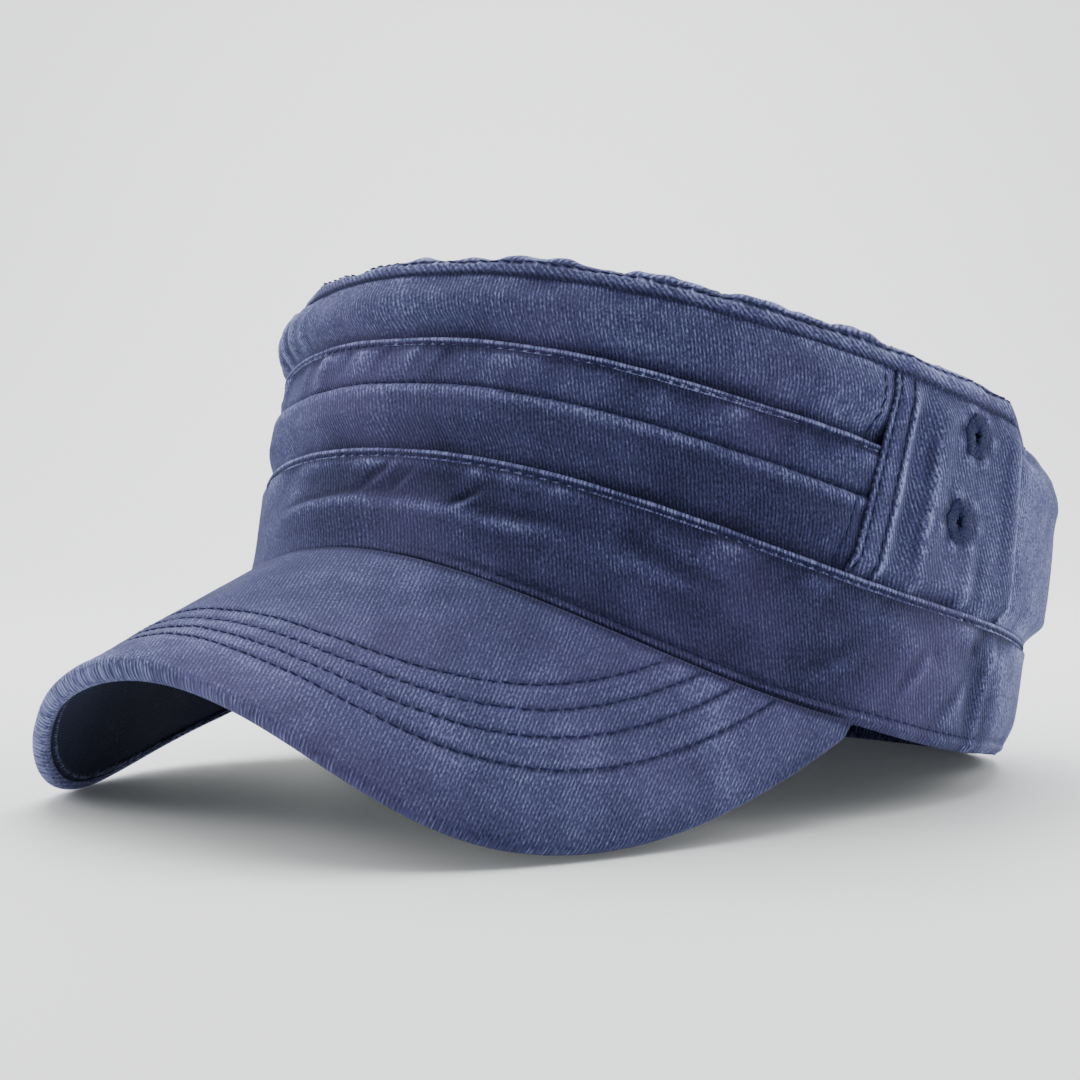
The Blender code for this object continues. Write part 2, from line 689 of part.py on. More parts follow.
def stand(rest, peak, band):
    """Lean the cap until both corners of the peak and the band touch, and centre its box."""
    peak_spots = [vert.co.copy() for vert in peak.data.vertices]
    band_spots = [vert.co.copy() for vert in band.data.vertices]

    def left_is_high(roll, tilt):
        turned = leaning(tilt, roll)
        return lowest(peak_spots, turned, 1.0) > lowest(peak_spots, turned, -1.0)

    def back_is_high(tilt):
        roll = halve(lambda angle: left_is_high(angle, tilt), LEAN_LIMIT)
        turned = leaning(tilt, roll)
        return lowest(band_spots, turned) + FLATTENED > lowest(peak_spots, turned)

    tilt = halve(back_is_high, LEAN_LIMIT)
    roll = halve(lambda angle: left_is_high(angle, tilt), LEAN_LIMIT)
    turned = leaning(tilt, roll)
    floor = lowest(peak_spots, turned)
    level = turned.inverted()
    for vert in band.data.vertices:
        spot = turned @ vert.co
        if spot.z < floor:
            spot.z = floor
            vert.co = level @ spot
    solids = [piece for piece in rest.children if not piece.hide_render]
    spots = [turned @ vert.co for piece in solids for vert in piece.data.vertices]
    centre_x = 0.5 * (min(spot.x for spot in spots) + max(spot.x for spot in spots))
    centre_y = 0.5 * (min(spot.y for spot in spots) + max(spot.y for spot in spots))
    rest.rotation_euler = turned.to_euler()
    rest.location = (-centre_x, -centre_y, -floor)


def main():
    for old in list(bpy.data.objects):
        bpy.data.objects.remove(old, do_unlink=True)
    rest = bpy.data.objects.new("resting_cap", None)
    bpy.context.collection.objects.link(rest)
    make_front(rest)
    make_side(rest, 1.0, "left")
    make_side(rest, -1.0, "right")
    make_back(rest)
    make_top(rest)
    band = make_band(rest)
    peak = make_peak(rest)
    stand(rest, peak, band)
    bpy.context.view_layer.update()


main()
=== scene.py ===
# %% [markdown]
# # A washed twill military cap
# The solids loaded below give every sewn piece its place and its size. This lesson lays fine cloth
# over them, piece by piece: it cuts a flat grid, lays it on the form of the crown, band or peak,
# presses in the folds, puckers and stitch lines, and dyes it as faded blue twill.

# %% Load the solids
import math

import bmesh
import bpy
import numpy as np
from mathutils import Euler, Matrix, Vector


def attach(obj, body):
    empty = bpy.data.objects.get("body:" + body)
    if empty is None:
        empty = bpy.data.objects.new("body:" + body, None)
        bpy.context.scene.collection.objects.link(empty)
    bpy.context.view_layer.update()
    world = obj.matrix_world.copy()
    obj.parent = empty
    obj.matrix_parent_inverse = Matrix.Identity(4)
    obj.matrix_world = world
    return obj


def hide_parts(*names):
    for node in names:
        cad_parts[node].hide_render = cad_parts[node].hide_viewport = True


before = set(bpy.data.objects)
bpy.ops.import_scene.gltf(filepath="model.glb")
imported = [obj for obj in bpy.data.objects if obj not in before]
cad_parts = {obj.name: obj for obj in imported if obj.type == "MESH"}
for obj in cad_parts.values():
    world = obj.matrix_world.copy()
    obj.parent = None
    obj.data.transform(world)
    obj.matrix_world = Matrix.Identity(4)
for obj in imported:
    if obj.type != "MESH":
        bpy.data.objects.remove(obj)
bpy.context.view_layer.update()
print("solids:", sorted(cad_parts))

# %% [markdown]
# ## The sizes of the cap
# A cap is cut from a pattern, so its pieces share a few measures: the plan of the head, the heights
# of the band and the wall, and where the seams lie. They are the same as those of the solids.
# Turns are degrees round the head from the middle of the front, and towards the wearer's left.

# %% Pattern sizes in metres and degrees
CLOTH = 0.0016
BAND_CLOTH = 0.0020
CLEARANCE = 0.0003
HALF_WIDTH, FRONT_REACH, BACK_REACH, ROUNDNESS = 0.0877, 0.0891, 0.0939, 2.23
SIDE_TAPER, FRONT_LEAN, BACK_DRAW = -0.0004, -0.0006, 0.0060
BAND_FRONT, BAND_SIDE, BAND_BACK = 0.0229, 0.0276, 0.0236
FRONT_ARCH, ARCH_POWER, BACK_LIFT = 0.0188, 1.73, 0.0034
WALL_FRONT, WALL_SIDE, WALL_BACK, WALL_LAP = 0.0391, 0.0457, 0.0402, 0.0052
STRIP_TOP, STRIP_LAP = 0.0239 / 0.0391, 0.0030 / 0.0391
FRONT_SEAM, REAR_SEAM = (72.0, 75.4), (102.9, 99.1)
FELL_WIDTH, FELL_FRONT, FELL_SIDE, TOP_DOME = 0.0076, 0.0034, 0.0049, 0.0030
EYELETS = {"upper": (90.3, 0.0373), "lower": (89.3, 0.0184)}
HOLE_RADIUS, EYELET_WIDTH = 0.0021, 0.0024
PEAK_TURN, PEAK_LENGTH, PEAK_DROOP, PEAK_SLACK, PEAK_TAPER = 75.0, 0.0576, 33.2, 0.0042, 0.020
CURL_START, CURL_FULL, CURL_DROP, CURL_TUCK = -0.040, 0.050, 0.0160, 0.0460
PEAK_CORNER, PEAK_TIP, PEAK_THICK = 2.65, 0.992, 0.0033
LEAN = (-11.802, 1.225, -0.256)
RESTS_AT = (-0.001114, 0.017634, 0.016212)
ROUND_ARC = 0.0885
settle = Matrix.LocRotScale(Vector(RESTS_AT), Euler([math.radians(turn) for turn in LEAN]), None)
turning = np.array(settle.to_3x3())
moving = np.array(settle.translation)
print("the cap leans back", -LEAN[0], "degrees and rolls", LEAN[1])

# %% [markdown]
# ## Curves that cloth follows
# Cloth has no corners, so every change of height or fullness is led over softly. `ease` goes from
# 0 to 1, `hump` is a soft bump, and `rumple` is a chance rise and fall with a chosen size of bump.
# All of them take whole arrays, because a piece has tens of thousands of points.

# %% Soft curves
def ease(start, end, value):
    share = np.clip((value - start) / (end - start), 0.0, 1.0)
    return share * share * (3.0 - 2.0 * share)


def hump(value, centre, half_width):
    return np.exp(-((value - centre) / half_width) ** 2)


def powered(value, power):
    return np.sign(value) * np.abs(value) ** power


def rumple(across, up, cell, seed):
    """Chance bumps between -1 and 1, one to a cell; cell is its width and height."""
    chance = np.random.default_rng(seed).uniform(-1.0, 1.0, (128, 128))
    x, y = across / cell[0], up / cell[1]
    column, row = np.floor(x).astype(int), np.floor(y).astype(int)
    right, above = ease(0.0, 1.0, x - column), ease(0.0, 1.0, y - row)
    corner = [[chance[(column + i) % 128, (row + j) % 128] for j in (0, 1)] for i in (0, 1)]
    low = corner[0][0] * (1 - right) + corner[1][0] * right
    high = corner[0][1] * (1 - right) + corner[1][1] * right
    return low * (1 - above) + high * above


def drawn(across, up, slope, cell, seed):
    """Bumps stretched along a slope, as cloth is drawn away from a row of stitches."""
    return rumple(across + slope * up, up, cell, seed)


print("two bumps:", rumple(np.array([0.1, 0.7]), np.array([0.2, 0.2]), (1.0, 1.0), 1))

# %% [markdown]
# ## The wall of the cap
# The head's plan is an oval a little squarer than an ellipse. The band, the crown's wall and the
# edge of the top all stand on it, each a little in or out. The first draft of a hat is the same:
# one block, and then the cloth is built on it.

# %% The block under the cloth
def plan(turn, rise, out):
    """Plan of the wall; out is how far the cloth stands off it."""
    angle = np.radians(turn)
    sine, cosine = np.sin(angle), np.cos(angle)
    half_width = HALF_WIDTH - SIDE_TAPER * rise
    reach = np.where(cosine > 0, FRONT_REACH + FRONT_LEAN * rise, BACK_REACH - BACK_DRAW * rise)
    power = 2.0 / ROUNDNESS
    across = powered(sine, 2.0 - power) / half_width
    along = -powered(cosine, 2.0 - power) / reach
    length = np.hypot(across, along)
    x = half_width * powered(sine, power) + out * across / length
    y = -reach * powered(cosine, power) + out * along / length
    return x, y


def between(turn, front, side, back, power=2):
    cosine = np.cos(np.radians(turn))
    ahead = side + (front - side) * cosine ** 2
    behind = side + (back - side) * np.abs(cosine) ** power
    return np.where(cosine > 0, ahead, behind)


def hem_height(turn):
    turn = np.abs((turn + 180.0) % 360.0 - 180.0)
    arch = FRONT_ARCH * (1.0 - np.minimum(turn / PEAK_TURN, 1.0) ** ARCH_POWER) ** 2
    share = np.clip((turn - PEAK_TURN) / (180.0 - PEAK_TURN), 0.0, 1.0)
    return arch + BACK_LIFT * (0.5 - 0.5 * np.cos(math.pi * share))


def band_top(turn):
    return between(turn, FRONT_ARCH + BAND_FRONT, BAND_SIDE, BACK_LIFT + BAND_BACK, power=4)


def wall_height(turn):
    return between(turn, WALL_FRONT, WALL_SIDE, WALL_BACK)


print("band round the head in mm:", round(1000 * float(np.hypot(
    *(np.diff(line) for line in plan(np.linspace(0, 360, 721), 0.0, 0.0))).sum()), 1))

# %% [markdown]
# ## Dents
# A washed cap keeps a few broad dents from how it was folded and worn. They are the same as in the
# solids: a turn and half-width in degrees, a rise and half-height as shares of the wall (below 0 on
# the band), and a depth, where less than 0 stands out.

# %% Broad dents
DENT_DEPTH = 0.0016
DENTS = [
    (-24.0, 6.0, 0.16, 0.12, 0.6), (4.0, 9.0, -0.13, 0.10, 0.9), (17.0, 5.0, 0.06, 0.10, 0.8),
    (-8.0, 10.0, -0.36, 0.12, -0.7), (33.0, 9.0, -0.30, 0.14, 0.5), (54.0, 8.0, 0.20, 0.12, 0.5),
    (44.0, 10.0, 0.80, 0.10, 0.6), (-14.0, 9.0, 0.86, 0.09, 0.5), (97.0, 3.5, -0.30, 0.30, 0.8),
    (122.0, 16.0, -0.62, 0.20, 1.7), (-122.0, 16.0, -0.62, 0.20, 1.4), (-52.0, 8.0, 0.22, 0.12, 0.7),
    (-96.0, 5.0, -0.28, 0.26, 0.7), (150.0, 9.0, -0.20, 0.16, 0.7), (-140.0, 8.0, -0.24, 0.16, 0.6),
]
SHOULDER = 0.0016


def dent(turn, rise):
    depth = np.zeros(np.broadcast(turn, rise).shape)
    for centre, half_width, height, half_height, amount in DENTS:
        away = (turn - centre + 180.0) % 360.0 - 180.0
        depth += amount * hump(away, 0.0, half_width) * hump(rise, height, half_height)
    return DENT_DEPTH * depth


def wall(turn, rise, out):
    """A point of the crown's wall, level, before the cap is set down."""
    out = out - dent(turn, rise) * ease(0.0, 0.10, rise) - SHOULDER * ease(0.84, 1.0, rise)
    x, y = plan(turn, rise, out)
    return np.stack([x, y, band_top(turn) + wall_height(turn) * rise], -1)


def tucked(out, rise, turned_in):
    """Lead a wall in behind the band at its foot."""
    inside = -(BAND_CLOTH + CLEARANCE)
    return inside + (out - inside) * ease(0.0, turned_in, rise)


def lapped(v, turn):
    """Rise at v, from -1 at the hidden lower edge over 0 at the band to 1 at the crown seam."""
    return np.where(v > 0.0, v, v * WALL_LAP / wall_height(turn))


def seam_at(seam, rise):
    return seam[0] + (seam[1] - seam[0]) * np.maximum(rise, 0.0)


print("deepest dent in mm:", round(1000 * DENT_DEPTH * max(row[4] for row in DENTS), 2))

# %% [markdown]
# ## Laying cloth
# Each piece starts as a flat grid. `lay_cloth` moves its points on to a surface, writes a UV map in
# metres for the weave, and stores two values at each point: one where washing has bared the pale
# core of the yarn and where painted light makes the cloth paler, and one of painted shade, which
# darkens creases, grooves, seams and the cloth under folded or lapped edges. High spots are made
# paler and low spots get painted shade, so both are read from the relief itself. A Solidify
# modifier then gives the sheet its thickness on the inner side and closes its edges.

# %% From a flat grid to a laid cloth
laid = {}


def spread(field, reach):
    """Average a field of the grid over a few rows and columns."""
    for axis in (0, 1):
        total = field.copy()
        for step in range(1, reach + 1):
            ahead = np.take(field, np.clip(np.arange(field.shape[axis]) + step, 0, field.shape[axis] - 1),
                            axis)
            behind = np.take(field, np.clip(np.arange(field.shape[axis]) - step, 0, field.shape[axis] - 1),
                             axis)
            total = total + ahead + behind
        field = total / (2 * reach + 1)
    return field


def grid_normals(points):
    along = np.gradient(points, axis=1)
    up = np.gradient(points, axis=0)
    normal = np.cross(along, up)
    length = np.linalg.norm(normal, axis=-1, keepdims=True)
    return normal / np.maximum(length, 1e-12)


def lay_cloth(name, u, v, points, relief, weave, wear_and_painted_light, painted_shade, thickness, hand=1.0):
    """Lay a grid of cloth: points are level, and relief moves them along their normals."""
    normals = grid_normals(points) * hand
    points = points + normals * relief[..., None]
    points = points @ turning.T + moving
    normals = grid_normals(points) * hand
    # High spots of the fine relief are made paler, as wear and painted light; low spots get painted shade.
    fine = relief - spread(relief, 7)
    wear_and_painted_light = np.clip(wear_and_painted_light + fine * 1100.0, 0.0, 1.0)
    painted_shade = np.clip(painted_shade - fine * 1100.0, 0.0, 1.0)
    laid[name] = {"u": u, "v": v, "points": points, "normals": normals}

    rows, columns = len(v) - 1, len(u) - 1
    bm = bmesh.new()
    bmesh.ops.create_grid(bm, x_segments=columns, y_segments=rows, size=0.5)
    mesh = bpy.data.meshes.new(name)
    bm.to_mesh(mesh)
    bm.free()
    flat = np.empty(len(mesh.vertices) * 3)
    mesh.vertices.foreach_get("co", flat)
    flat = flat.reshape(-1, 3)
    column = np.rint((flat[:, 0] + 0.5) * columns).astype(int)
    row = np.rint((flat[:, 1] + 0.5) * rows).astype(int)
    mesh.vertices.foreach_set("co", points[row, column].ravel())
    for label, value in (("wear_and_painted_light", wear_and_painted_light), ("painted_shade", painted_shade)):
        mesh.attributes.new(label, "FLOAT", "POINT").data.foreach_set("value", value[row, column].ravel())
    corners = np.empty(len(mesh.loops), dtype=int)
    mesh.loops.foreach_get("vertex_index", corners)
    uv = mesh.uv_layers.new(name="weave")
    uv.data.foreach_set("uv", weave[row[corners], column[corners]].ravel())

    bm = bmesh.new()
    bm.from_mesh(mesh)
    bmesh.ops.remove_doubles(bm, verts=bm.verts[:], dist=1e-6)
    if hand < 0:
        bmesh.ops.reverse_faces(bm, faces=bm.faces[:])
    bm.to_mesh(mesh)
    bm.free()
    mesh.shade_smooth()
    piece = bpy.data.objects.new(name, mesh)
    bpy.context.collection.objects.link(piece)
    wall_cloth = piece.modifiers.new("thickness", "SOLIDIFY")
    wall_cloth.thickness = thickness
    wall_cloth.offset = -1.0
    wall_cloth.use_even_offset = False
    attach(piece, "root")
    print(name, len(mesh.polygons) * 4, "triangles with its inner side")
    return piece


def on_cloth(name, u, v):
    """Points and normals of a laid cloth at places between its grid points."""
    cloth = laid[name]
    across = np.interp(u, cloth["u"], np.arange(len(cloth["u"])))
    up = np.interp(v, cloth["v"], np.arange(len(cloth["v"])))
    column = np.minimum(across.astype(int), len(cloth["u"]) - 2)
    row = np.minimum(up.astype(int), len(cloth["v"]) - 2)
    right, above = (across - column)[:, None], (up - row)[:, None]
    found = []
    for field in (cloth["points"], cloth["normals"]):
        low = field[row, column] * (1 - right) + field[row, column + 1] * right
        high = field[row + 1, column] * (1 - right) + field[row + 1, column + 1] * right
        found.append(low * (1 - above) + high * above)
    return found


def stretch(first, last, count):
    return np.linspace(first, last, count + 1)


# %% [markdown]
# ## Topstitching
# A row of topstitching presses a groove in the cloth. Between the holes the thread lies on top, and
# at each hole it dives in, so the groove is deepest there and the cloth beside it puckers.
# `stitch_line` gives that relief from the distance to the row and the place along it. A folded edge
# is a thin cord of doubled cloth with such a row close under it, so it has a helper of its own.

# %% The groove of a row of stitches
STITCH = 0.0029
EDGE_RADIUS, ROLLED, FOLD_STITCH = 0.0005, 0.0013, 0.0013


def stitch_line(distance, along, depth=0.00045, half_width=0.0007):
    pull = 0.70 + 0.30 * np.cos(2.0 * math.pi * along / STITCH)
    return -depth * hump(distance, 0.0, half_width) * pull


def edge_fold(from_edge, along):
    beads = 0.80 + 0.20 * np.cos(2.0 * math.pi * along / STITCH)
    return 0.00030 * hump(from_edge, 0.0003, 0.00045) * beads + stitch_line(
        from_edge - FOLD_STITCH, along, 0.00045, 0.00060)


def puckers(distance, along, reach, height, seed, slope=0.6, width=0.0085):
    """Short ridges that run away from a row of stitches and fade out within reach."""
    away = np.clip(np.abs(distance) / reach, 0.0, 1.0)
    ridges = drawn(along, distance, slope, (0.4 * width, 0.012), seed)
    broad = drawn(along, distance, slope, (width, 0.020), seed + 1)
    return height * (0.35 * ridges + 1.0 * broad) * (1.0 - away) ** 1.3


def crease(x, y, slope, half_length, half_width, depth):
    """A short sharp fold through the origin of x and y, dark on its upper side."""
    across = (y - slope * x) / math.hypot(1.0, slope)
    fade = hump((x + slope * y) / math.hypot(1.0, slope), 0.0, half_length)
    return depth * fade * (0.6 * hump(across, -1.6 * half_width, 1.3 * half_width)
                           - hump(across, 0.0, half_width))


# %% [markdown]
# ## The overlay of the front
# The lower front wall is a second layer. Its top edge is folded over and topstitched, which leaves
# a pale rounded edge. A second row of stitches lower down makes a strip, and below that row the
# cloth is let out as a full pleat. The strip is drawn up by both rows, so it puckers on a slant.
# At both ends the front is pressed flat, because the side walls are sewn down over it.

# %% Lay the overlay
SECTIONS = np.array([(0.07, -0.60), (0.16, 0.35), (0.32, 0.80), (0.47, 0.70), (0.56, 0.25),
                     (0.605, -0.75), (0.68, -0.35), (0.80, 0.00), (1.00, 0.00)])
PLEAT = 0.0012
STRIP_LINE = 0.605 * STRIP_TOP
UNDER_BORDER = 0.55
SEAM_DEPTH = 0.0005
SEAM_ROW = 0.0040


def overlay_out(rise):
    share = rise / STRIP_TOP
    return tucked(PLEAT * np.interp(share, SECTIONS[:, 0], SECTIONS[:, 1]), rise, 0.20)


def front_place(U, V):
    """Turn of the front's cloth, and its distance from the side seam it runs under."""
    seam = seam_at(FRONT_SEAM, V)
    turn = U * (seam + UNDER_BORDER)
    return turn, (seam - np.abs(turn)) * math.radians(1.0) * ROUND_ARC


def pressed(out, from_seam):
    flat = 1.0 - ease(0.0, 0.0050, from_seam)
    return out - flat * (np.maximum(out, -SEAM_DEPTH) + SEAM_DEPTH)


u = stretch(-1.0, 1.0, 420)
rolled = ROLLED / WALL_FRONT
last = STRIP_TOP - 0.4 * rolled
v = np.concatenate([stretch(-1.0, 0.0, 3)[:-1], stretch(0.0, last, 52)[:-1],
                    stretch(last, last + rolled, 6)])
U, V = np.meshgrid(u, v)
turn, from_seam = front_place(U, V)
rise = lapped(np.minimum(V, last), turn)
roll_angle = np.clip((V - last) / rolled, 0.0, 1.0) * math.radians(125.0)
out = pressed(overlay_out(rise), from_seam) - EDGE_RADIUS * (1.0 - np.cos(roll_angle))
points = wall(turn, rise + EDGE_RADIUS * np.sin(roll_angle) / wall_height(turn), out)
along = np.radians(turn) * ROUND_ARC
up = rise * wall_height(turn)
top_edge = STRIP_TOP * wall_height(turn) - up
strip_line = up - STRIP_LINE * wall_height(turn)
below_fold = top_edge - FOLD_STITCH
in_strip = ease(0.0, 0.0016, below_fold) * ease(0.0, 0.0010, strip_line)
relief = edge_fold(top_edge, along) + stitch_line(strip_line, along, 0.0004, 0.0005)
left_part = ease(26.0, 8.0, turn)
pulled = puckers(below_fold, along, 0.0100, 1.0, 11, slope=0.75, width=0.0052) * left_part
pulled = ((pulled + puckers(below_fold, along, 0.0110, 1.0, 13, slope=0.35, width=0.0100)
          * (1.0 - left_part)) * in_strip)
relief += 0.00095 * pulled
relief += 0.00035 * hump(strip_line, -0.0016, 0.0011)
relief += (0.00030 * drawn(along, up, 0.5, (0.014, 0.016), 19)
           + 0.00008 * rumple(along, up, (0.005, 0.008), 23))
beside = stitch_line(from_seam - SEAM_ROW, up, 0.00045, 0.0006) * (strip_line < 0)
relief += beside + puckers(from_seam - SEAM_ROW, up, 0.006, 0.00020, 29, slope=0.2) * (rise > 0)
relief *= ease(-0.0004, 0.0008, from_seam)
# Worn pale: the folded edge's cord. Paler as wear and painted light: the pleat's swell below the strip's row
# and the crests of the puckers. Painted light: the part towards the wearer's right, which faces the left lamp.
# Painted shade: under the folded edge and its stitch row, in the pucker valleys and the strip's groove, beside
# the side seams, at the foot behind the band, and over the pleat on the wearer's left half.
beads = 0.86 + 0.14 * np.cos(2.0 * math.pi * along / STITCH)
wear_and_painted_light = 1.40 * hump(top_edge, 0.0002, 0.0006) * beads + 0.22 * hump(strip_line, -0.0024, 0.0022)
wear_and_painted_light = wear_and_painted_light + 0.10 * ease(8.0, -40.0, turn) + 0.34 * np.maximum(pulled, 0.0)
shadow_under_fold = 1.6 * hump(below_fold, 0.0004, 0.0008) * ease(0.0004, 0.0010, top_edge) * (1.3 - 0.6 * beads)
painted_shade = shadow_under_fold + 0.28 * np.maximum(-pulled, 0.0) + 0.5 * hump(strip_line, 0.0001, 0.0004)
painted_shade = painted_shade + 0.45 * ease(0.0030, 0.0, from_seam) + 0.55 * ease(0.10, 0.0, rise)
painted_shade = painted_shade + 0.26 * ease(-15.0, 15.0, turn) * (strip_line < 0)
weave = np.stack([along, up], -1)
overlay = lay_cloth("overlay_cloth", u, v, points, relief * (V > 0), weave, wear_and_painted_light, painted_shade, CLOTH)
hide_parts("front_overlay")

# %% [markdown]
# ## The upper front wall
# Above the folded edge the wall is one smooth layer that leans in a little under the top. Only the
# seams pull at it: the crown seam along its upper edge, and a stitched line beside each side seam.

# %% Lay the upper front wall
UPPER_FULL = 0.0016


def upper_out(rise, from_seam):
    over = pressed(overlay_out(np.minimum(rise, STRIP_TOP)), from_seam)
    behind = over - CLOTH - CLEARANCE
    full = pressed(UPPER_FULL * np.sin(math.pi * ease(STRIP_TOP, 1.0, rise)), from_seam)
    return behind + (full - behind) * ease(STRIP_TOP + 0.02, STRIP_TOP + 0.14, rise)


u = stretch(-1.0, 1.0, 400)
v = stretch(STRIP_TOP - STRIP_LAP, 1.0, 42)
U, V = np.meshgrid(u, v)
turn, from_seam = front_place(U, V)
points = wall(turn, V, upper_out(V, from_seam))
along = np.radians(turn) * ROUND_ARC
up = V * wall_height(turn)
under_top = (1.0 - V) * wall_height(turn)
relief = (puckers(under_top, along, 0.0060, 0.00045, 41, slope=0.3)
          + 0.0003 * hump(under_top, 0.0014, 0.0012))
relief += (0.00035 * drawn(along, up, 0.8, (0.018, 0.024), 43)
           + 0.00008 * rumple(along, up, (0.006, 0.008), 47))
drags = hump(turn, -37.0, 11.0) * ease(STRIP_TOP + 0.03, STRIP_TOP + 0.12, V) * (1.0 - ease(0.93, 1.0, V))
relief += (0.00050 * drags
           * np.sin((along - 0.55 * up) / 0.00150 + 2.0 * rumple(along, up, (0.01, 0.01), 49)))
relief += stitch_line(from_seam - SEAM_ROW, up, 0.0005, 0.0006)
relief += puckers(from_seam - SEAM_ROW, up, 0.005, 0.00022, 53, slope=0.2)
relief += 0.0022 * hump(turn, -46.0, 22.0) * ease(0.60, 0.92, V)
relief *= ease(-0.0004, 0.0008, from_seam) * ease(0.0, 0.0028, under_top)
# Worn pale: the edge just under the top's ring. Painted light: paler towards the wearer's right, which faces
# the left lamp. Also paler towards the top and a little paler all over. Painted shade: a dark line where the
# top's ring laps over the wall, a shadow just above the overlay's folded edge, and beside the side seams.
wear_and_painted_light = (0.45 * hump(under_top, 0.0006, 0.0010) + 0.10 * ease(0.6, 1.0, V)
        + 0.18 * ease(8.0, -40.0, turn) + 0.14)
painted_shade = (0.8 * hump(under_top, 0.0013, 0.0006)
         + 0.8 * hump((V - STRIP_TOP) * wall_height(turn), 0.0004, 0.0016)
         + 0.45 * ease(0.0030, 0.0, from_seam))
weave = np.stack([along, up + 0.003], -1)
upper = lay_cloth("upper_front_cloth", u, v, points, relief, weave, wear_and_painted_light, painted_shade, CLOTH)
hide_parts("front_upper_panel")

# %% [markdown]
# ## The side walls
# Each side wall carries a flat felled border where it meets the front: two layers, stitched down
# along both edges. Behind it the cloth hangs in a few upright folds. Two vent holes are left open;
# the grid's faces inside each hole are removed, and the points round it are moved on to its circle.

# %% Lay the side walls
BORDER_ROWS = (0.0014, 0.0056)
SIDE_RIDGES = [
    (0.0072, 0.0008, 0.00045, 0.00, 1.00), (0.0100, 0.0013, -0.00030, 0.20, 0.90),
    (0.0152, 0.0009, 0.00055, 0.05, 0.75), (0.0128, 0.0012, -0.00035, 0.20, 0.80),
    (0.0185, 0.0020, -0.00030, 0.10, 0.60), (0.0275, 0.0014, 0.00050, 0.00, 0.25),
    (0.0305, 0.0018, -0.00035, 0.00, 0.35), (0.0365, 0.0026, -0.00035, 0.20, 0.80),
]
SIDE_FOLDS = [(0.24, 0.07, -0.9), (0.40, 0.08, 0.8), (0.66, 0.14, -0.5), (0.93, 0.07, 0.9)]
BORDER_PROUD, FOLD_DEPTH = 0.0005, 0.0012
middle_turns = math.radians((REAR_SEAM[0] + REAR_SEAM[1] - FRONT_SEAM[0] - FRONT_SEAM[1]) / 2)
SIDE_WIDTH = middle_turns * HALF_WIDTH
BORDER = 0.0052 / SIDE_WIDTH


def side_out(u, rise):
    folds = sum(depth * hump(u, place, half_width) for place, half_width, depth in SIDE_FOLDS)
    fade = ease(-0.05, 0.25, rise) * (1.0 - ease(0.8, 1.0, rise))
    field = FOLD_DEPTH * folds * fade * ease(BORDER, BORDER + 0.10, u)
    proud = BORDER_PROUD * (1.0 - ease(BORDER, BORDER + 0.04, u)) + BORDER_PROUD * hump(u, 1.0, 0.05)
    return tucked(field + proud, rise, 0.10)


def side_turn(u, rise):
    first = seam_at(FRONT_SEAM, rise) - UNDER_BORDER
    return first + (seam_at(REAR_SEAM, rise) + 0.4 - first) * u


def eyelet_place(label):
    turn, height = EYELETS[label]
    v = height / WALL_SIDE
    first, last = float(side_turn(0.0, v)), float(side_turn(1.0, v))
    return (turn - first) / (last - first), v


def open_hole(piece, centre, radius):
    """Cut the grid away inside a circle and draw the edge of the gap on to it."""
    bm = bmesh.new()
    bm.from_mesh(piece.data)
    inside = [face for face in bm.faces if (face.calc_center_median() - centre).length < radius]
    bmesh.ops.delete(bm, geom=inside, context="FACES")
    rim = {vert for edge in bm.edges if edge.is_boundary for vert in edge.verts
           if (vert.co - centre).length < 1.6 * radius}
    for vert in rim:
        vert.co = centre + (vert.co - centre).normalized() * radius
    bm.to_mesh(piece.data)
    bm.free()
    print(piece.name, "hole edge has", len(rim), "points")


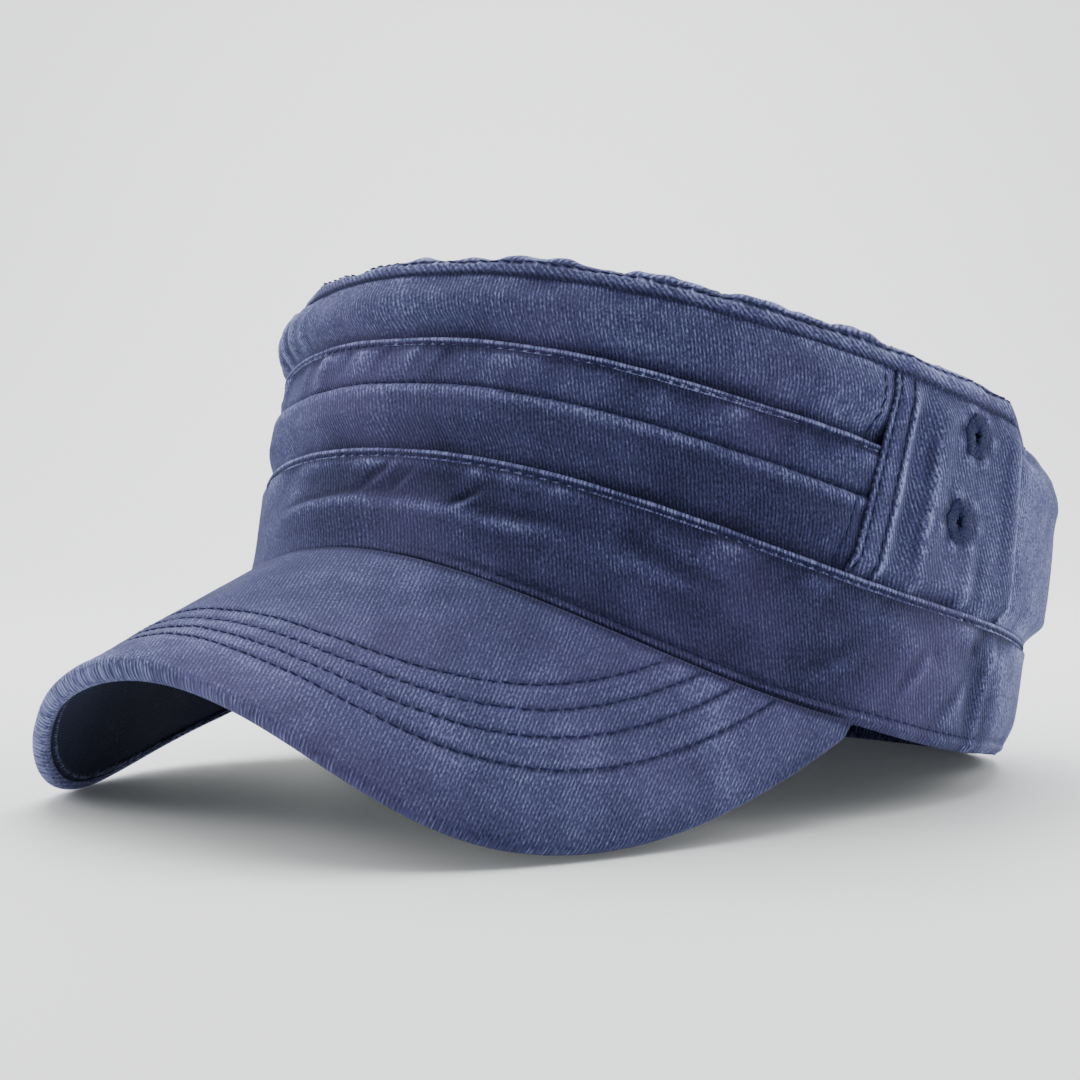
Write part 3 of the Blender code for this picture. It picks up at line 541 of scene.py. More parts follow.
sides = {}
for hand, label in ((1.0, "left"), (-1.0, "right")):
    u = stretch(0.0, 1.0, 120)
    v = np.concatenate([stretch(-1.0, 0.0, 3)[:-1], stretch(0.0, 1.0, 96)])
    U, V = np.meshgrid(u, v)
    turn = side_turn(U, V)
    rise = lapped(V, turn)
    points = wall(turn, rise, side_out(U, V))
    points[..., 0] *= hand
    along, up = U * SIDE_WIDTH, rise * wall_height(turn)
    under_top = (1.0 - rise) * wall_height(turn)
    relief = (stitch_line(along - BORDER_ROWS[0], up, 0.0002, 0.0006)
              + stitch_line(along - BORDER_ROWS[1], up, 0.0005, 0.0007))
    relief += 0.00016 * rumple(along, up, (0.0020, 0.0070), 61) * (along < 0.0064)
    relief += 0.00012 * hump(along, 0.0004, 0.0006)
    for place, half_width, height, low, high in SIDE_RIDGES:
        sway = place + 0.0009 * rumple(0.0 * up, up, (1.0, 0.011), int(place * 1e5))
        broken = 0.75 + 0.5 * rumple(0.0 * up + 9.0, up, (1.0, 0.007), int(place * 2e5))
        relief += height * broken * hump(along, sway, half_width) * ease(low - 0.15, low + 0.1, rise) * (
            1.0 - ease(high - 0.15, high + 0.1, rise))
    relief += 0.00034 * rumple(along, up, (0.0040, 0.026), 63) * ease(0.006, 0.010, along)
    relief += 0.00010 * rumple(along, up, (0.0040, 0.0060), 67)
    relief += puckers(under_top, along, 0.006, 0.00034, 69, slope=0.2)
    relief += puckers(up, along, 0.007, 0.00040, 70, slope=-0.2)
    hole_shade = 0.0
    for place, height in (eyelet_place(name) for name in EYELETS):
        from_hole = np.hypot((U - place) * SIDE_WIDTH, (V - height) * WALL_SIDE)
        spokes = np.cos(7.0 * np.arctan2(V - height, U - place))
        relief += (0.00022 * spokes + 0.00025) * hump(from_hole, 0.0054, 0.0016)
        hole_shade = hole_shade + hump(from_hole, 0.0042, 0.0012)
    ridges = sum(hump(along, row[0], 1.4 * row[1]) * (row[2] > 0) * ease(row[3] - 0.1, row[3] + 0.1, rise)
                 * (1.0 - ease(row[4] - 0.2, row[4] + 0.1, rise)) for row in SIDE_RIDGES)
    relief *= ease(0.0, 0.0028, under_top)
    # Paler, as wear and painted light: the rear edge, the border's inner edge and the crests of the upright
    # ridges; a little paler towards the back. Painted shade: in the border's two stitch grooves, at the foot
    # behind the band, round each vent hole, and a dark line where the top's ring laps over the wall.
    wear_and_painted_light = 0.95 * hump(along, SIDE_WIDTH, 0.0008) + 0.35 * hump(along, 0.0064, 0.0009) + 0.30 * ridges
    wear_and_painted_light = wear_and_painted_light + 0.04 * ease(0.35, 0.9, U) + 0.16 * hump(along, 0.0004, 0.0006)
    painted_shade = (0.8 * hump(along, BORDER_ROWS[1], 0.0007) + 0.3 * hump(along, BORDER_ROWS[0], 0.0005)
             + 0.5 * ease(0.06, 0.0, rise))
    painted_shade = painted_shade + 0.8 * hole_shade + 0.8 * hump(under_top, 0.0013, 0.0006)
    weave = np.stack([along + 0.4, up], -1)
    sides[label] = lay_cloth("side_cloth_" + label, u, v, points, relief * (V > 0), weave, wear_and_painted_light, painted_shade,
                             0.0009, hand)
    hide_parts("side_panel_" + label)
    for name in EYELETS:
        place, height = eyelet_place(name)
        centre, normal = on_cloth("side_cloth_" + label, np.array([place]), np.array([height]))
        open_hole(sides[label], Vector(centre[0]), HOLE_RADIUS)

# %% [markdown]
# ## The back wall
# The back wall is cut fuller than the head, so it puffs out over the band and keeps soft upright
# folds. No strap or opening is made in it, because none is known.

# %% Lay the back wall
def sag(turn):
    """How far the top's rear part has sunk, as the back is not held up by anything."""
    return SAG * ease(97.5, 106.0, 180.0 - np.abs(180.0 - np.abs(turn)))


BACK_FULL = 0.0056
SAG = 0.0070
BACK_RISE = 1.05
BACK_SECTIONS = np.array([(0.03, 0.30), (0.12, 0.66), (0.26, 0.82), (0.42, 0.92), (0.60, 1.00),
                          (0.78, 1.05), (0.89, 1.05), (0.96, 0.85), (1.00, 0.15)])
BACK_FOLDS = [(0.20, 0.05, -1.0), (0.36, 0.06, 0.6), (0.55, 0.06, -0.8), (0.79, 0.05, -0.9)]
u = stretch(0.0, 1.0, 330)
v = np.concatenate([stretch(-1.0, 0.0, 3)[:-1], stretch(0.0, 1.0, 64)])
U, V = np.meshgrid(u, v)
first = seam_at(REAR_SEAM, V) - 0.4
turn = first + U * (360.0 - 2.0 * first)
rise = (lapped(V, turn)
        * np.where(V > 0.0, 1.0 + (BACK_RISE - 1.0) * ease(0.0, 0.06, np.minimum(U, 1.0 - U)), 1.0))
ends = ease(0.0, 0.24, U) * ease(0.0, 0.24, 1.0 - U)
folds = sum(depth * hump(U, place, half_width) for place, half_width, depth in BACK_FOLDS)
full = (BACK_FULL * (1.0 - 0.25 * np.sin(math.pi * U) ** 2) + FOLD_DEPTH * folds) * ends
out = np.where(V > 0.0, full * np.interp(V, BACK_SECTIONS[:, 0], BACK_SECTIONS[:, 1]), 0.0)
out -= 0.0011 * (1.0 - ease(0.0, 0.03, np.minimum(U, 1.0 - U)))
out += 0.0010 * hump(V, 0.90, 0.12) * (hump(U, 0.11, 0.13) + hump(U, 0.89, 0.13))
points = wall(turn, rise, tucked(out, V, 0.14))
points[..., 2] -= sag(turn) * ease(0.3, 1.0, V)
along, up = np.radians(turn) * ROUND_ARC, rise * wall_height(turn)
under_top = (1.0 - rise) * wall_height(turn)
relief = (0.00060 * drawn(along, up, -0.25, (0.011, 0.036), 71)
          + 0.00010 * rumple(along, up, (0.006, 0.009), 73))
relief += puckers(under_top, along, 0.009, 0.00050, 75, slope=0.2)
relief += puckers(up, along, 0.012, 0.00060, 77, slope=0.2)
relief *= ease(0.0, 0.0028, under_top)
wear_and_painted_light = 0.34 + 0.15 * hump(V, 0.55, 0.3)
# Painted shade at the foot, where the wall meets the band.
painted_shade = 0.4 * hump(up, 0.0, 0.0015)
weave = np.stack([along, up], -1)
back = lay_cloth("back_cloth", u, v, points, relief * (V > 0), weave, wear_and_painted_light, painted_shade, CLOTH)
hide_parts("back_panel")

# %% [markdown]
# ## The band
# The band is folded at its upper edge and topstitched 2 mm below it, so the edge stands up as a
# pale cord with a dark row beneath, and the cloth under the row is drawn into slanting puckers. Its
# lower edge is hemmed, and over the peak the hem shows as a soft ridge.
# Behind the side seams its lower edge is drawn in and rounded, since the cap leans back on it.

# %% Lay the band
BAND_CREASES = [
    (15.2, 0.645, 0.56, 0.0038, 0.0008, 0.0011), (0.5, 0.75, 0.85, 0.0042, 0.0008, 0.0007),
    (4.5, 0.72, 0.85, 0.0034, 0.0007, 0.0005), (-10.0, 0.55, 0.10, 0.0120, 0.0009, 0.0006),
    (24.0, 0.60, 0.15, 0.0090, 0.0012, 0.0005), (46.0, 0.62, -0.10, 0.0110, 0.0018, 0.0004),
    (70.0, 0.40, 0.70, 0.0080, 0.0016, 0.0004), (84.0, 0.45, 1.40, 0.0070, 0.0013, 0.0005),
    (92.0, 0.35, 1.10, 0.0070, 0.0013, 0.0005), (-60.0, 0.55, 0.60, 0.0080, 0.0013, 0.0006),
]
BAND_FLARE, HEM_PROUD, HEM_ROW = 0.0005, 0.0005, 0.0030


def band_points(turn, v, out=0.0):
    low, high = hem_height(turn), band_top(turn)
    rise = (v - 1.0) * (high - low) / wall_height(turn)
    lap = 1.0 - WALL_LAP / (high - low)
    hem = HEM_PROUD * (1.0 - ease(0.0, 0.25, v))
    dents = dent(turn, rise) * (1.0 - ease(lap - 0.25, lap, v))
    x, y = plan(turn, rise, hem + BAND_FLARE * (1.0 - v) - dents + out)
    return np.stack([x, y, low + (high - low) * v + 0.0 * turn], -1)


u = stretch(-180.0, 180.0, 800)
v = np.concatenate([stretch(0.0, 0.06, 5)[:-1], stretch(0.06, 0.96, 44)[:-1], stretch(0.96, 1.0, 6)])
U, V = np.meshgrid(u, v)
high = band_top(U) - hem_height(U)
roll_angle = np.clip((V - 0.96) / 0.04, 0.0, 1.0) * math.radians(125.0)
body = np.minimum(V / 0.96, 1.0) * (1.0 - EDGE_RADIUS / high)
turned_in = 0.0012 * (1.0 - ease(0.0, 0.0016, body * high))
rounded = 0.0016 + 0.0026 * ease(0.0085, 0.0, body * high) ** 1.5
drawn_in = rounded * (hump(U, 122.0, 20.0) + hump(U, -122.0, 20.0))
points = band_points(U, body + EDGE_RADIUS * np.sin(roll_angle) / high,
                     -EDGE_RADIUS * (1.0 - np.cos(roll_angle)) - turned_in - drawn_in)
points[..., 2] -= 0.0018 * (1.0 - V) ** 2 * (hump(U, 92.0, 15.0) + hump(U, -92.0, 15.0))
along, up = np.radians(U) * ROUND_ARC, body * high
top_edge = high - up
below_fold = top_edge - FOLD_STITCH
relief = edge_fold(top_edge, along)
pulled = (puckers(below_fold, along, 0.0120, 1.0, 81, slope=0.55, width=0.0095)
          * ease(0.0, 0.0016, below_fold))
relief += 0.00075 * pulled
relief += 0.00045 * drawn(along, up, 0.9, (0.016, 0.022), 83) * ease(0.002, 0.008, top_edge)
relief += 0.00009 * rumple(along, up, (0.005, 0.008), 87)
hemmed = ease(2.0, 25.0, U) * (1.0 - 0.7 * ease(66.0, 82.0, U)) + ease(50.0, 75.0, -U)
hem = 0.00042 * hump(up, 0.0016, 0.0010) + stitch_line(up - HEM_ROW, along, 0.00045, 0.0006)
relief += hemmed * (hem + puckers(up - HEM_ROW, along, 0.0045, 0.00026, 89) * (up > HEM_ROW))
hollow = hump(U, 8.0, 20.0) * ease(0.49, 0.63, V) * (1.0 - ease(0.76, 0.90, V))
relief -= 0.0008 * hollow
relief += 0.0002 * hump(V, 0.48, 0.07) * hump(U, 2.0, 18.0)
for centre, height, slope, half_length, half_width, depth in BAND_CREASES:
    relief += crease((U - centre) * math.radians(1.0) * ROUND_ARC, (V - height) * high, slope,
                     half_length, half_width, depth)
for centre, height in ((88.5, 0.63), (96.0, 0.74)):
    away = np.hypot((U - centre) * math.radians(1.0) * ROUND_ARC, (V - height) * high)
    relief -= 0.0006 * hump(away, 0.0, 0.0017)
end_fold = U - 98.0 - 4.0 * V
short = 1.0 - ease(0.70, 0.95, V)
relief += (0.0004 * hump(end_fold, 0.0, 0.9) - 0.0003 * hump(end_fold, -2.4, 1.4)) * short
relief *= 1.0 - 0.7 * hump(np.abs(U), 180.0, 30.0) * hump(up, 0.0, 0.004)
# Worn pale: the cord of the folded edge and a band below it. Paler as wear and painted light: the crests of
# the puckers. Painted light: behind the side seams the band is made paler. Painted shade: under the folded
# edge and its stitch row, in the hem's stitch groove, along the band's foot over the peak and on the hem
# there, in the hollow, in the pucker valleys, and over the front half, darkest at mid-height.
over_peak = ease(75.0, 70.0, np.abs(U))
beads = 0.86 + 0.14 * np.cos(2.0 * math.pi * along / STITCH)
wear_and_painted_light = 1.40 * hump(top_edge, 0.0002, 0.0006) * beads + 0.10 * hump(top_edge, 0.007, 0.004)
wear_and_painted_light = wear_and_painted_light + 0.66 * ease(98.0, 106.0, U) + 0.66 * ease(98.0, 106.0, -U) + 0.26 * np.maximum(pulled, 0.0)
shadow_under_fold = 1.6 * hump(below_fold, 0.0004, 0.0008) * ease(0.0004, 0.0010, top_edge) * (1.3 - 0.6 * beads)
painted_shade = shadow_under_fold + 0.45 * hemmed * hump(up, HEM_ROW, 0.0007)
painted_shade = painted_shade + over_peak * (1.2 * ease(0.0015, 0.0004, up) + 0.55 * hemmed * ease(0.0040, 0.0, up))
painted_shade = painted_shade + 0.40 * hollow + 0.16 * hump(V, 0.35, 0.4) * ease(-30.0, 30.0, U) * ease(95.0, 70.0, U)
painted_shade = painted_shade + 0.24 * np.maximum(-pulled, 0.0) + 0.32 * ease(-20.0, 10.0, U) * (1.0 - ease(90.0, 104.0, U))
weave = np.stack([along, up], -1)
band = lay_cloth("band_cloth", u, v, points, relief, weave, wear_and_painted_light, painted_shade, BAND_CLOTH)
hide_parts("band")

# %% [markdown]
# ## The top
# The top is an oval disc. Its edge is turned under with the seam's spare cloth and stitched down
# twice, so it is a thick, lumpy ring. The lumps are the palest part of the cap, because they rub.

# %% Lay the top
FELLED = np.array([(0.00, -0.26), (0.05, 0.30), (0.22, 0.72), (0.46, 0.94), (0.72, 1.00), (1.00, 0.88)])
FELL_ROWS = (0.0014, 0.0058)
u = stretch(-180.0, 180.0, 720)
v = np.concatenate([stretch(0.0, 1.0, 20)[:-1], stretch(1.0, 2.0, 26)])
U, V = np.meshgrid(u, v)
rim = wall(U, np.ones_like(U), np.full_like(U, 0.5 * CLOTH + 0.0002))
centre = np.array([0.0, 0.5 * (BACK_REACH - FRONT_REACH), 0.0])
centre[2] = 0.5 * (wall(np.array(0.0), 1.0, 0.0)[2] + wall(np.array(180.0), 1.0, 0.0)[2])
place = np.minimum(V, 1.0)
steps = np.linspace(0.0, 1.0, len(FELLED))
inward = FELL_WIDTH * np.interp(place, steps, FELLED[:, 0])
height = between(U, FELL_FRONT, FELL_SIDE, FELL_SIDE) * np.interp(place, steps, FELLED[:, 1])
across = np.maximum(V - 1.0, 0.0)
height += (FELL_SIDE * FELLED[-1, 1] - height) * ease(0.0, 1.0, across)
towards = centre - rim
towards[..., 2] = 0.0
towards /= np.linalg.norm(towards, axis=-1, keepdims=True)
points = rim + towards * inward[..., None]
points = points + (centre - points) * across[..., None]
points[..., 2] = rim[..., 2] + (centre[2] - rim[..., 2]) * ease(0.0, 1.0, across)
points[..., 2] += height + TOP_DOME * np.sin(0.5 * math.pi * across)
along = np.radians(U) * ROUND_ARC
into = inward + across * ROUND_ARC
fade = 1.0 - ease(0.10, 0.35, across)
points[..., 2] -= (sag(U) + 0.0010 * ease(99.0, 112.0, np.abs(U))) * (1.0 - across)
lumps = (0.00080 * rumple(along, into, (0.0060, 0.0034), 91)
         + 0.0003 * rumple(along, into, (0.0026, 0.0030), 93))
relief = lumps * ease(0.0, 0.0015, into) * fade
relief += sum(stitch_line(into - row, along, 0.0005) * fade for row in FELL_ROWS)
relief += (0.0004 * np.sin(math.pi * ease(0.0, 1.0, across))
           * rumple(points[..., 0], points[..., 1], (0.02, 0.02), 97))
wear_and_painted_light = (0.60 + 0.90 * rumple(along, into, (0.006, 0.0024), 95)) * fade * ease(0.0, 0.0008, into)
# Painted shade: along the lower edge of the turned ring, where it laps over the wall, and in the two stitch
# grooves.
painted_shade = 1.4 * ease(0.09, 0.0, V) + 0.5 * fade * sum(hump(into, row, 0.0005) for row in FELL_ROWS)
weave = np.where((V <= 1.0)[..., None], np.stack([along, into - height], -1), points[..., :2])
top = lay_cloth("top_cloth", u, v, points, relief, weave, wear_and_painted_light, painted_shade, CLOTH)
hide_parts("top_panel")

# %% [markdown]
# ## The form of the peak
# A cap's peak is a flat board bent over the forehead. Its seam follows the band's arch, and it
# droops forward. The side over the right eye is curled further in, as in a cap that was carried
# in a pocket. `peak_at` gives its middle surface from a share across and a distance from its edge.

# %% The bent board
droop = math.radians(PEAK_DROOP)
seam_middle = band_points(np.array(0.0), 0.0)
seam_end = band_points(np.array(PEAK_TURN), 0.0)
seam_back = (seam_middle[1] - seam_end[1]) / math.cos(droop)
bend = seam_end[0] + PEAK_SLACK
last_angle = math.asin(seam_end[0] / bend)


def peak_sheet(angle, forward):
    radius = bend - PEAK_TAPER * (forward - seam_back)
    ahead = np.clip((forward - CURL_START) / (CURL_FULL - CURL_START), 0.0, 1.0)
    curl = (np.minimum(angle, 0.0) / last_angle * ahead) ** 2
    x = radius * np.sin(angle) + CURL_TUCK * curl
    y = seam_middle[1] - forward * math.cos(droop)
    z = seam_middle[2] - forward * math.sin(droop) - radius * (1.0 - np.cos(angle)) - CURL_DROP * curl
    return np.stack([x, y, z], -1)


def peak_edge(share):
    angle = last_angle * np.sin(0.5 * math.pi * share)
    full = (1.0 - np.abs(angle / last_angle) ** PEAK_CORNER) ** (1.0 / PEAK_CORNER)
    return angle, seam_back + (PEAK_LENGTH - seam_back) * full


def peak_root(share):
    under = band_points(PEAK_TURN * share, 0.0)
    forward = (seam_middle[1] - under[..., 1]) / math.cos(droop)
    radius = bend - PEAK_TAPER * (forward - seam_back)
    angle = np.arcsin(np.clip(under[..., 0] / radius, -1.0, 1.0))
    return angle, forward, under[..., 2] - peak_sheet(angle, forward)[..., 2]


def peak_width(share):
    return np.linalg.norm(peak_sheet(*peak_edge(share)) - peak_sheet(*peak_root(share)[:2]), axis=-1)


def peak_plan(share, inset):
    """Angle round the bend and distance forward, at a distance in from the edge."""
    edge_angle, edge_forward = peak_edge(share)
    root_angle, root_forward, _ = peak_root(share)
    place = inset / peak_width(share)
    return (edge_angle + (root_angle - edge_angle) * place,
            edge_forward + (root_forward - edge_forward) * place)


def peak_at(share, inset):
    """Middle surface of the peak and its upward normal."""
    angle, forward = peak_plan(share, inset)
    point = peak_sheet(angle, forward)
    across = peak_sheet(angle + 0.01, forward) - peak_sheet(angle - 0.01, forward)
    behind = peak_sheet(angle, forward - 0.001) - peak_sheet(angle, forward + 0.001)
    normal = np.cross(across, behind)
    point[..., 2] += peak_root(share)[2] * inset / peak_width(share)
    return point, normal / np.linalg.norm(normal, axis=-1, keepdims=True)


print("peak at its middle, from band to edge in mm:", round(1000 * float(peak_width(np.array(0.0))), 1))

# %% [markdown]
# ## The peak's upper cloth
# The upper cloth is drawn over the board, round its edge, and 3 mm back under it. Four rows of dark
# topstitching run round the peak. Each is an arch in the flat board, given by its height and its
# half-width, so the rows fan out a little towards the ends. One sheet makes all of the cloth: its
# rows start at the band, pass over the edge on a half circle, and end on the underside.
# The edge is fuller on the curled side, where the peak arches highest over the surface.

# %% Lay the peak's upper cloth
HALF = 0.5 * PEAK_THICK
PEAK_ROWS = [(0.0325, 0.0805), (0.0370, 0.0860), (0.0412, 0.0920), (0.0452, 0.0990)]
def turned_edge(share):
    return 0.0027 + 0.0010 * hump(share, 0.0, 0.25)


def row_distance(angle, forward, row):
    """Distance of a place on the board from a row of stitches, less than 0 inside it."""
    reach, half_width = row
    x, y = np.abs(angle * bend), np.maximum(forward - seam_back, 1e-6)
    size = (((x / half_width) ** PEAK_CORNER + (y / (reach - seam_back)) ** PEAK_CORNER)
            ** (1.0 / PEAK_CORNER))
    steep = size ** (1.0 - PEAK_CORNER) * np.hypot(
        x ** (PEAK_CORNER - 1.0) / half_width ** PEAK_CORNER,
        y ** (PEAK_CORNER - 1.0) / (reach - seam_back) ** PEAK_CORNER)
    return (size - 1.0) / steep


u = PEAK_TIP * np.sin(0.5 * math.pi * stretch(-1.0, 1.0, 344) * 0.86) / math.sin(0.5 * math.pi * 0.86)
v = np.concatenate([stretch(0.0, 0.90, 114)[:-1], stretch(0.90, 0.96, 10)[:-1], stretch(0.96, 1.0, 5)])
U, V = np.meshgrid(u, v)
width = peak_width(U) - 0.0006
field = np.clip(V / 0.90, 0.0, 1.0)
over = np.clip((V - 0.90) / 0.06, 0.0, 1.0) * math.pi
under = np.clip((V - 0.96) / 0.04, 0.0, 1.0)
round_edge = np.minimum(HALF, 0.3 * width)
inset = width + (round_edge - width) * field - round_edge * np.sin(over)
inset = inset + under * np.minimum(turned_edge(U) - round_edge, 0.3 * width)
inset = inset + 0.0016 * hump(U, 0.74, 0.20) * (1.0 - np.clip(inset / width, 0.0, 1.0))
middle, normal = peak_at(U, inset)
fat_edge = 0.0018 * hump(U, -0.04, 0.22) * (1.0 - 0.9 * under ** 2)
thick = HALF * np.cos(over) - fat_edge * (0.5 - 0.5 * np.cos(over))
points = middle + normal * thick[..., None]
angle, forward = peak_plan(U, inset)
arc = angle * bend
upper_side = 1.0 * (V < 0.90)
relief = (0.00022 * rumple(arc, forward, (0.020, 0.016), 105)
          + 0.00008 * rumple(arc, forward, (0.006, 0.006), 107))
painted_shade = np.zeros_like(U)
wear_and_painted_light = 0.50 * hump(np.maximum(inset, 0.0), 0.0004, 0.0016) * (V < 0.97)
wear_and_painted_light = (wear_and_painted_light + 0.22 * rumple(arc, forward, (0.022, 0.012), 103)
        + 0.10 * rumple(arc, forward, (0.008, 0.006), 104))
for number, row in enumerate(PEAK_ROWS):
    away = row_distance(angle, forward, row)
    relief += (stitch_line(away, arc, 0.00042, 0.0006)
               + puckers(away, arc, 0.0026, 0.00013, 110 + 2 * number, 0.1))
    # Painted shade in the groove of each row.
    painted_shade += 0.30 * hump(away, 0.0, 0.0005) * upper_side
    wear_and_painted_light = wear_and_painted_light + 0.10 * hump(np.abs(away), 0.0017, 0.0008)
relief += 0.00008 * rumple(arc + 0.8 * inset, inset, (0.0016, 0.006), 121) * hump(inset, 0.0, 0.0040)
# Paler towards the end where U is below 0, most of all along the rim: wear of the rim and painted light where
# this half faces the left lamp.
wear_and_painted_light = wear_and_painted_light + 0.40 * ease(-0.35, -0.90, U) + 1.20 * ease(0.12, -0.12, U) * ease(0.0090, 0.0010, inset)
# Painted shade: the rim is darker on the half where U is above 0, and a dark line runs along the seam under
# the band.
painted_shade += 0.42 * ease(0.014, 0.0, inset) * ease(-0.4, 0.1, U)
relief = relief * ease(0.0, 0.03, V) * upper_side
painted_shade += 1.6 * hump(width - inset, 0.0, 0.0013) * upper_side
weave = np.stack([arc, -forward], -1)
peak_cloth = lay_cloth("peak_cloth", u, v, points, relief, weave, wear_and_painted_light, painted_shade, 0.0009, hand=-1.0)
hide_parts("peak_top")

# %% [markdown]
# ## The cloth under the peak
# Under the peak a plain cloth covers the board, dyed far darker than the upper cloth as painted shade
# for the dark under the peak. It ends inside the turned edge, with a small welt where the two meet,
# and painted shade darkens the line at the turned edge and the cloth beyond the welt. It is laid on
# the middle surface's lower side, so its normals look down.

# %% Lay the cloth under the peak
u = PEAK_TIP * np.sin(0.5 * math.pi * stretch(-1.0, 1.0, 240) * 0.86) / math.sin(0.5 * math.pi * 0.86)
u = u * 0.985
v = stretch(0.0, 1.0, 60)
U, V = np.meshgrid(u, v)
width = peak_width(U) - 0.0006
start = np.minimum(turned_edge(U) - 0.0006, 0.3 * width)
inset = start + (width - start) * V
middle, normal = peak_at(U, inset)
points = middle - normal * (HALF - 0.00035)
arc = peak_edge(U)[0] * bend
relief = 0.00060 * hump(inset - start, 0.0021, 0.0008) + 0.00015 * rumple(arc, inset, (0.02, 0.02), 111)
wear_and_painted_light = 1.8 * hump(inset - start, 0.0021, 0.0006)
painted_shade = 0.25 * (inset - start > 0.002) + 0.9 * hump(inset - start, 0.0006, 0.0007)
weave = np.stack([arc, inset], -1)
underside = lay_cloth("peak_underside_cloth", u, v, points, relief, weave, wear_and_painted_light, painted_shade, 0.0011, hand=-1.0)
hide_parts("peak_underside")

# %% [markdown]
# ## Eyelets
# The vent holes are edged with satin stitching: dozens of threads laid side by side over the edge.
# A small circle is spun into a ring, and every second step is pinched in, which gives the threads.

# %% Stitch the eyelets
EYELET_STITCHES = 30
EYELET_SQUASH = 0.78


def satin_ring(name, cloth, place, height, hand):
    centre, normal = on_cloth(cloth, np.array([place]), np.array([height]))
    beside, _ = on_cloth(cloth, np.array([place + 0.02]), np.array([height]))
    outward = Vector(normal[0])
    across = (Vector(beside[0]) - Vector(centre[0])).normalized()
    above = outward.cross(across).normalized() * hand
    bm = bmesh.new()
    bmesh.ops.create_circle(bm, segments=10, radius=0.5, cap_ends=False)
    middle_radius = HOLE_RADIUS + 0.20 * EYELET_WIDTH
    for vert in bm.verts:
        vert.co = Vector((middle_radius + vert.co.x * 1.35 * EYELET_WIDTH, 0.0, vert.co.y * 0.0009))
    bmesh.ops.spin(bm, geom=bm.edges[:] + bm.verts[:], cent=(0, 0, 0), axis=(0, 0, 1),
                   angle=2.0 * math.pi, steps=3 * EYELET_STITCHES, use_merge=True)
    for vert in bm.verts:
        angle = math.atan2(vert.co.y, vert.co.x)
        pinch = 0.5 + 0.5 * math.cos(EYELET_STITCHES * angle)
        reach = math.hypot(vert.co.x, vert.co.y)
        uneven = 0.00022 * math.sin(5.0 * angle + 40.0 * place) + 0.00016 * math.sin(11.0 * angle)
        reach += 0.00026 * pinch * (1 if reach > middle_radius else -1) + uneven
        spot_u = place + EYELET_SQUASH * reach * math.cos(angle) / SIDE_WIDTH
        tall = 1.08 + 0.7 * max(0.0, 1.0 - max(0.0, reach - 0.0012) / 0.0018)
        spot_v = height + tall * reach * math.sin(angle) / WALL_SIDE
        spot, up = on_cloth(cloth, np.array([spot_u]), np.array([spot_v]))
        lift = vert.co.z * (0.55 + 0.60 * pinch) + 0.0001
        vert.co = Vector(spot[0]) + Vector(up[0]) * lift
    bmesh.ops.recalc_face_normals(bm, faces=bm.faces[:])
    mesh = bpy.data.meshes.new(name)
    bm.to_mesh(mesh)
    bm.free()
    mesh.shade_smooth()
    ring = bpy.data.objects.new(name, mesh)
    bpy.context.collection.objects.link(ring)
    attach(ring, "root")
    return ring


rings = []
for hand, label in ((1.0, "left"), (-1.0, "right")):
    for name in EYELETS:
        place, height = eyelet_place(name)
        ring = satin_ring("satin_%s_%s" % (label, name), "side_cloth_" + label, place, height, hand)
        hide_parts("eyelet_%s_%s" % (label, name))
        rings.append(ring)
print("eyelets:", [ring.name for ring in rings])

# %% [markdown]
# ## Threads
# A machine lays the thread in short runs that dive into the cloth at both ends. One low-sided ball,
# drawn out to the length of a stitch, is copied along each row and turned to lie on the cloth.

# %% Lay the rows of thread
def sew_row(name, runs, thickness=0.00042, length=0.0024):
    """runs is a list of (points, normals) along rows of stitching."""
    bm = bmesh.new()
    count = 0
    for points, normals in runs:
        steps = np.linalg.norm(np.diff(points, axis=0), axis=1)
        reach = np.concatenate([[0.0], np.cumsum(steps)])
        places = np.arange(0.5 * STITCH, reach[-1], STITCH)
        spots = np.stack([np.interp(places, reach, points[:, axis]) for axis in range(3)], -1)
        ahead = np.stack([np.interp(places + 0.0004, reach, points[:, axis]) for axis in range(3)], -1)
        before = np.stack([np.interp(places - 0.0004, reach, points[:, axis]) for axis in range(3)], -1)
        ups = np.stack([np.interp(places, reach, normals[:, axis]) for axis in range(3)], -1)
        for spot, front, rear, up in zip(spots, ahead, before, ups):
            along = Vector(front - rear).normalized()
            up = Vector(up)
            beside = up.cross(along).normalized()
            up = along.cross(beside)
            lie = Matrix((along, beside, up)).transposed().to_4x4()
            lie.translation = Vector(spot) + up * 0.28 * thickness
            size = Matrix.Diagonal((length, thickness, thickness, 1.0))
            bmesh.ops.create_uvsphere(bm, u_segments=6, v_segments=4, radius=0.5,
                                      matrix=lie @ size @ Matrix.Rotation(math.pi / 2, 4, "Y"))
            count += 1
    mesh = bpy.data.meshes.new(name)
    bm.to_mesh(mesh)
    bm.free()
    mesh.shade_smooth()
    thread = bpy.data.objects.new(name, mesh)
    bpy.context.collection.objects.link(thread)
    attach(thread, "root")
    print(name, count, "stitches")
    return thread


def across_front(cloth, level, first=-0.98, last=0.98):
    u = np.linspace(first, last, 500)
    turn = u * (FRONT_SEAM[0] + FRONT_SEAM[1]) / 2
    return on_cloth(cloth, u, level(turn))


threads = []
fold_row = across_front("overlay_cloth", lambda turn: STRIP_TOP - FOLD_STITCH / wall_height(turn))
strip_row = across_front("overlay_cloth", lambda turn: STRIP_LINE + 0.0 * turn)
threads.append(sew_row("strip_threads", [fold_row, strip_row]))

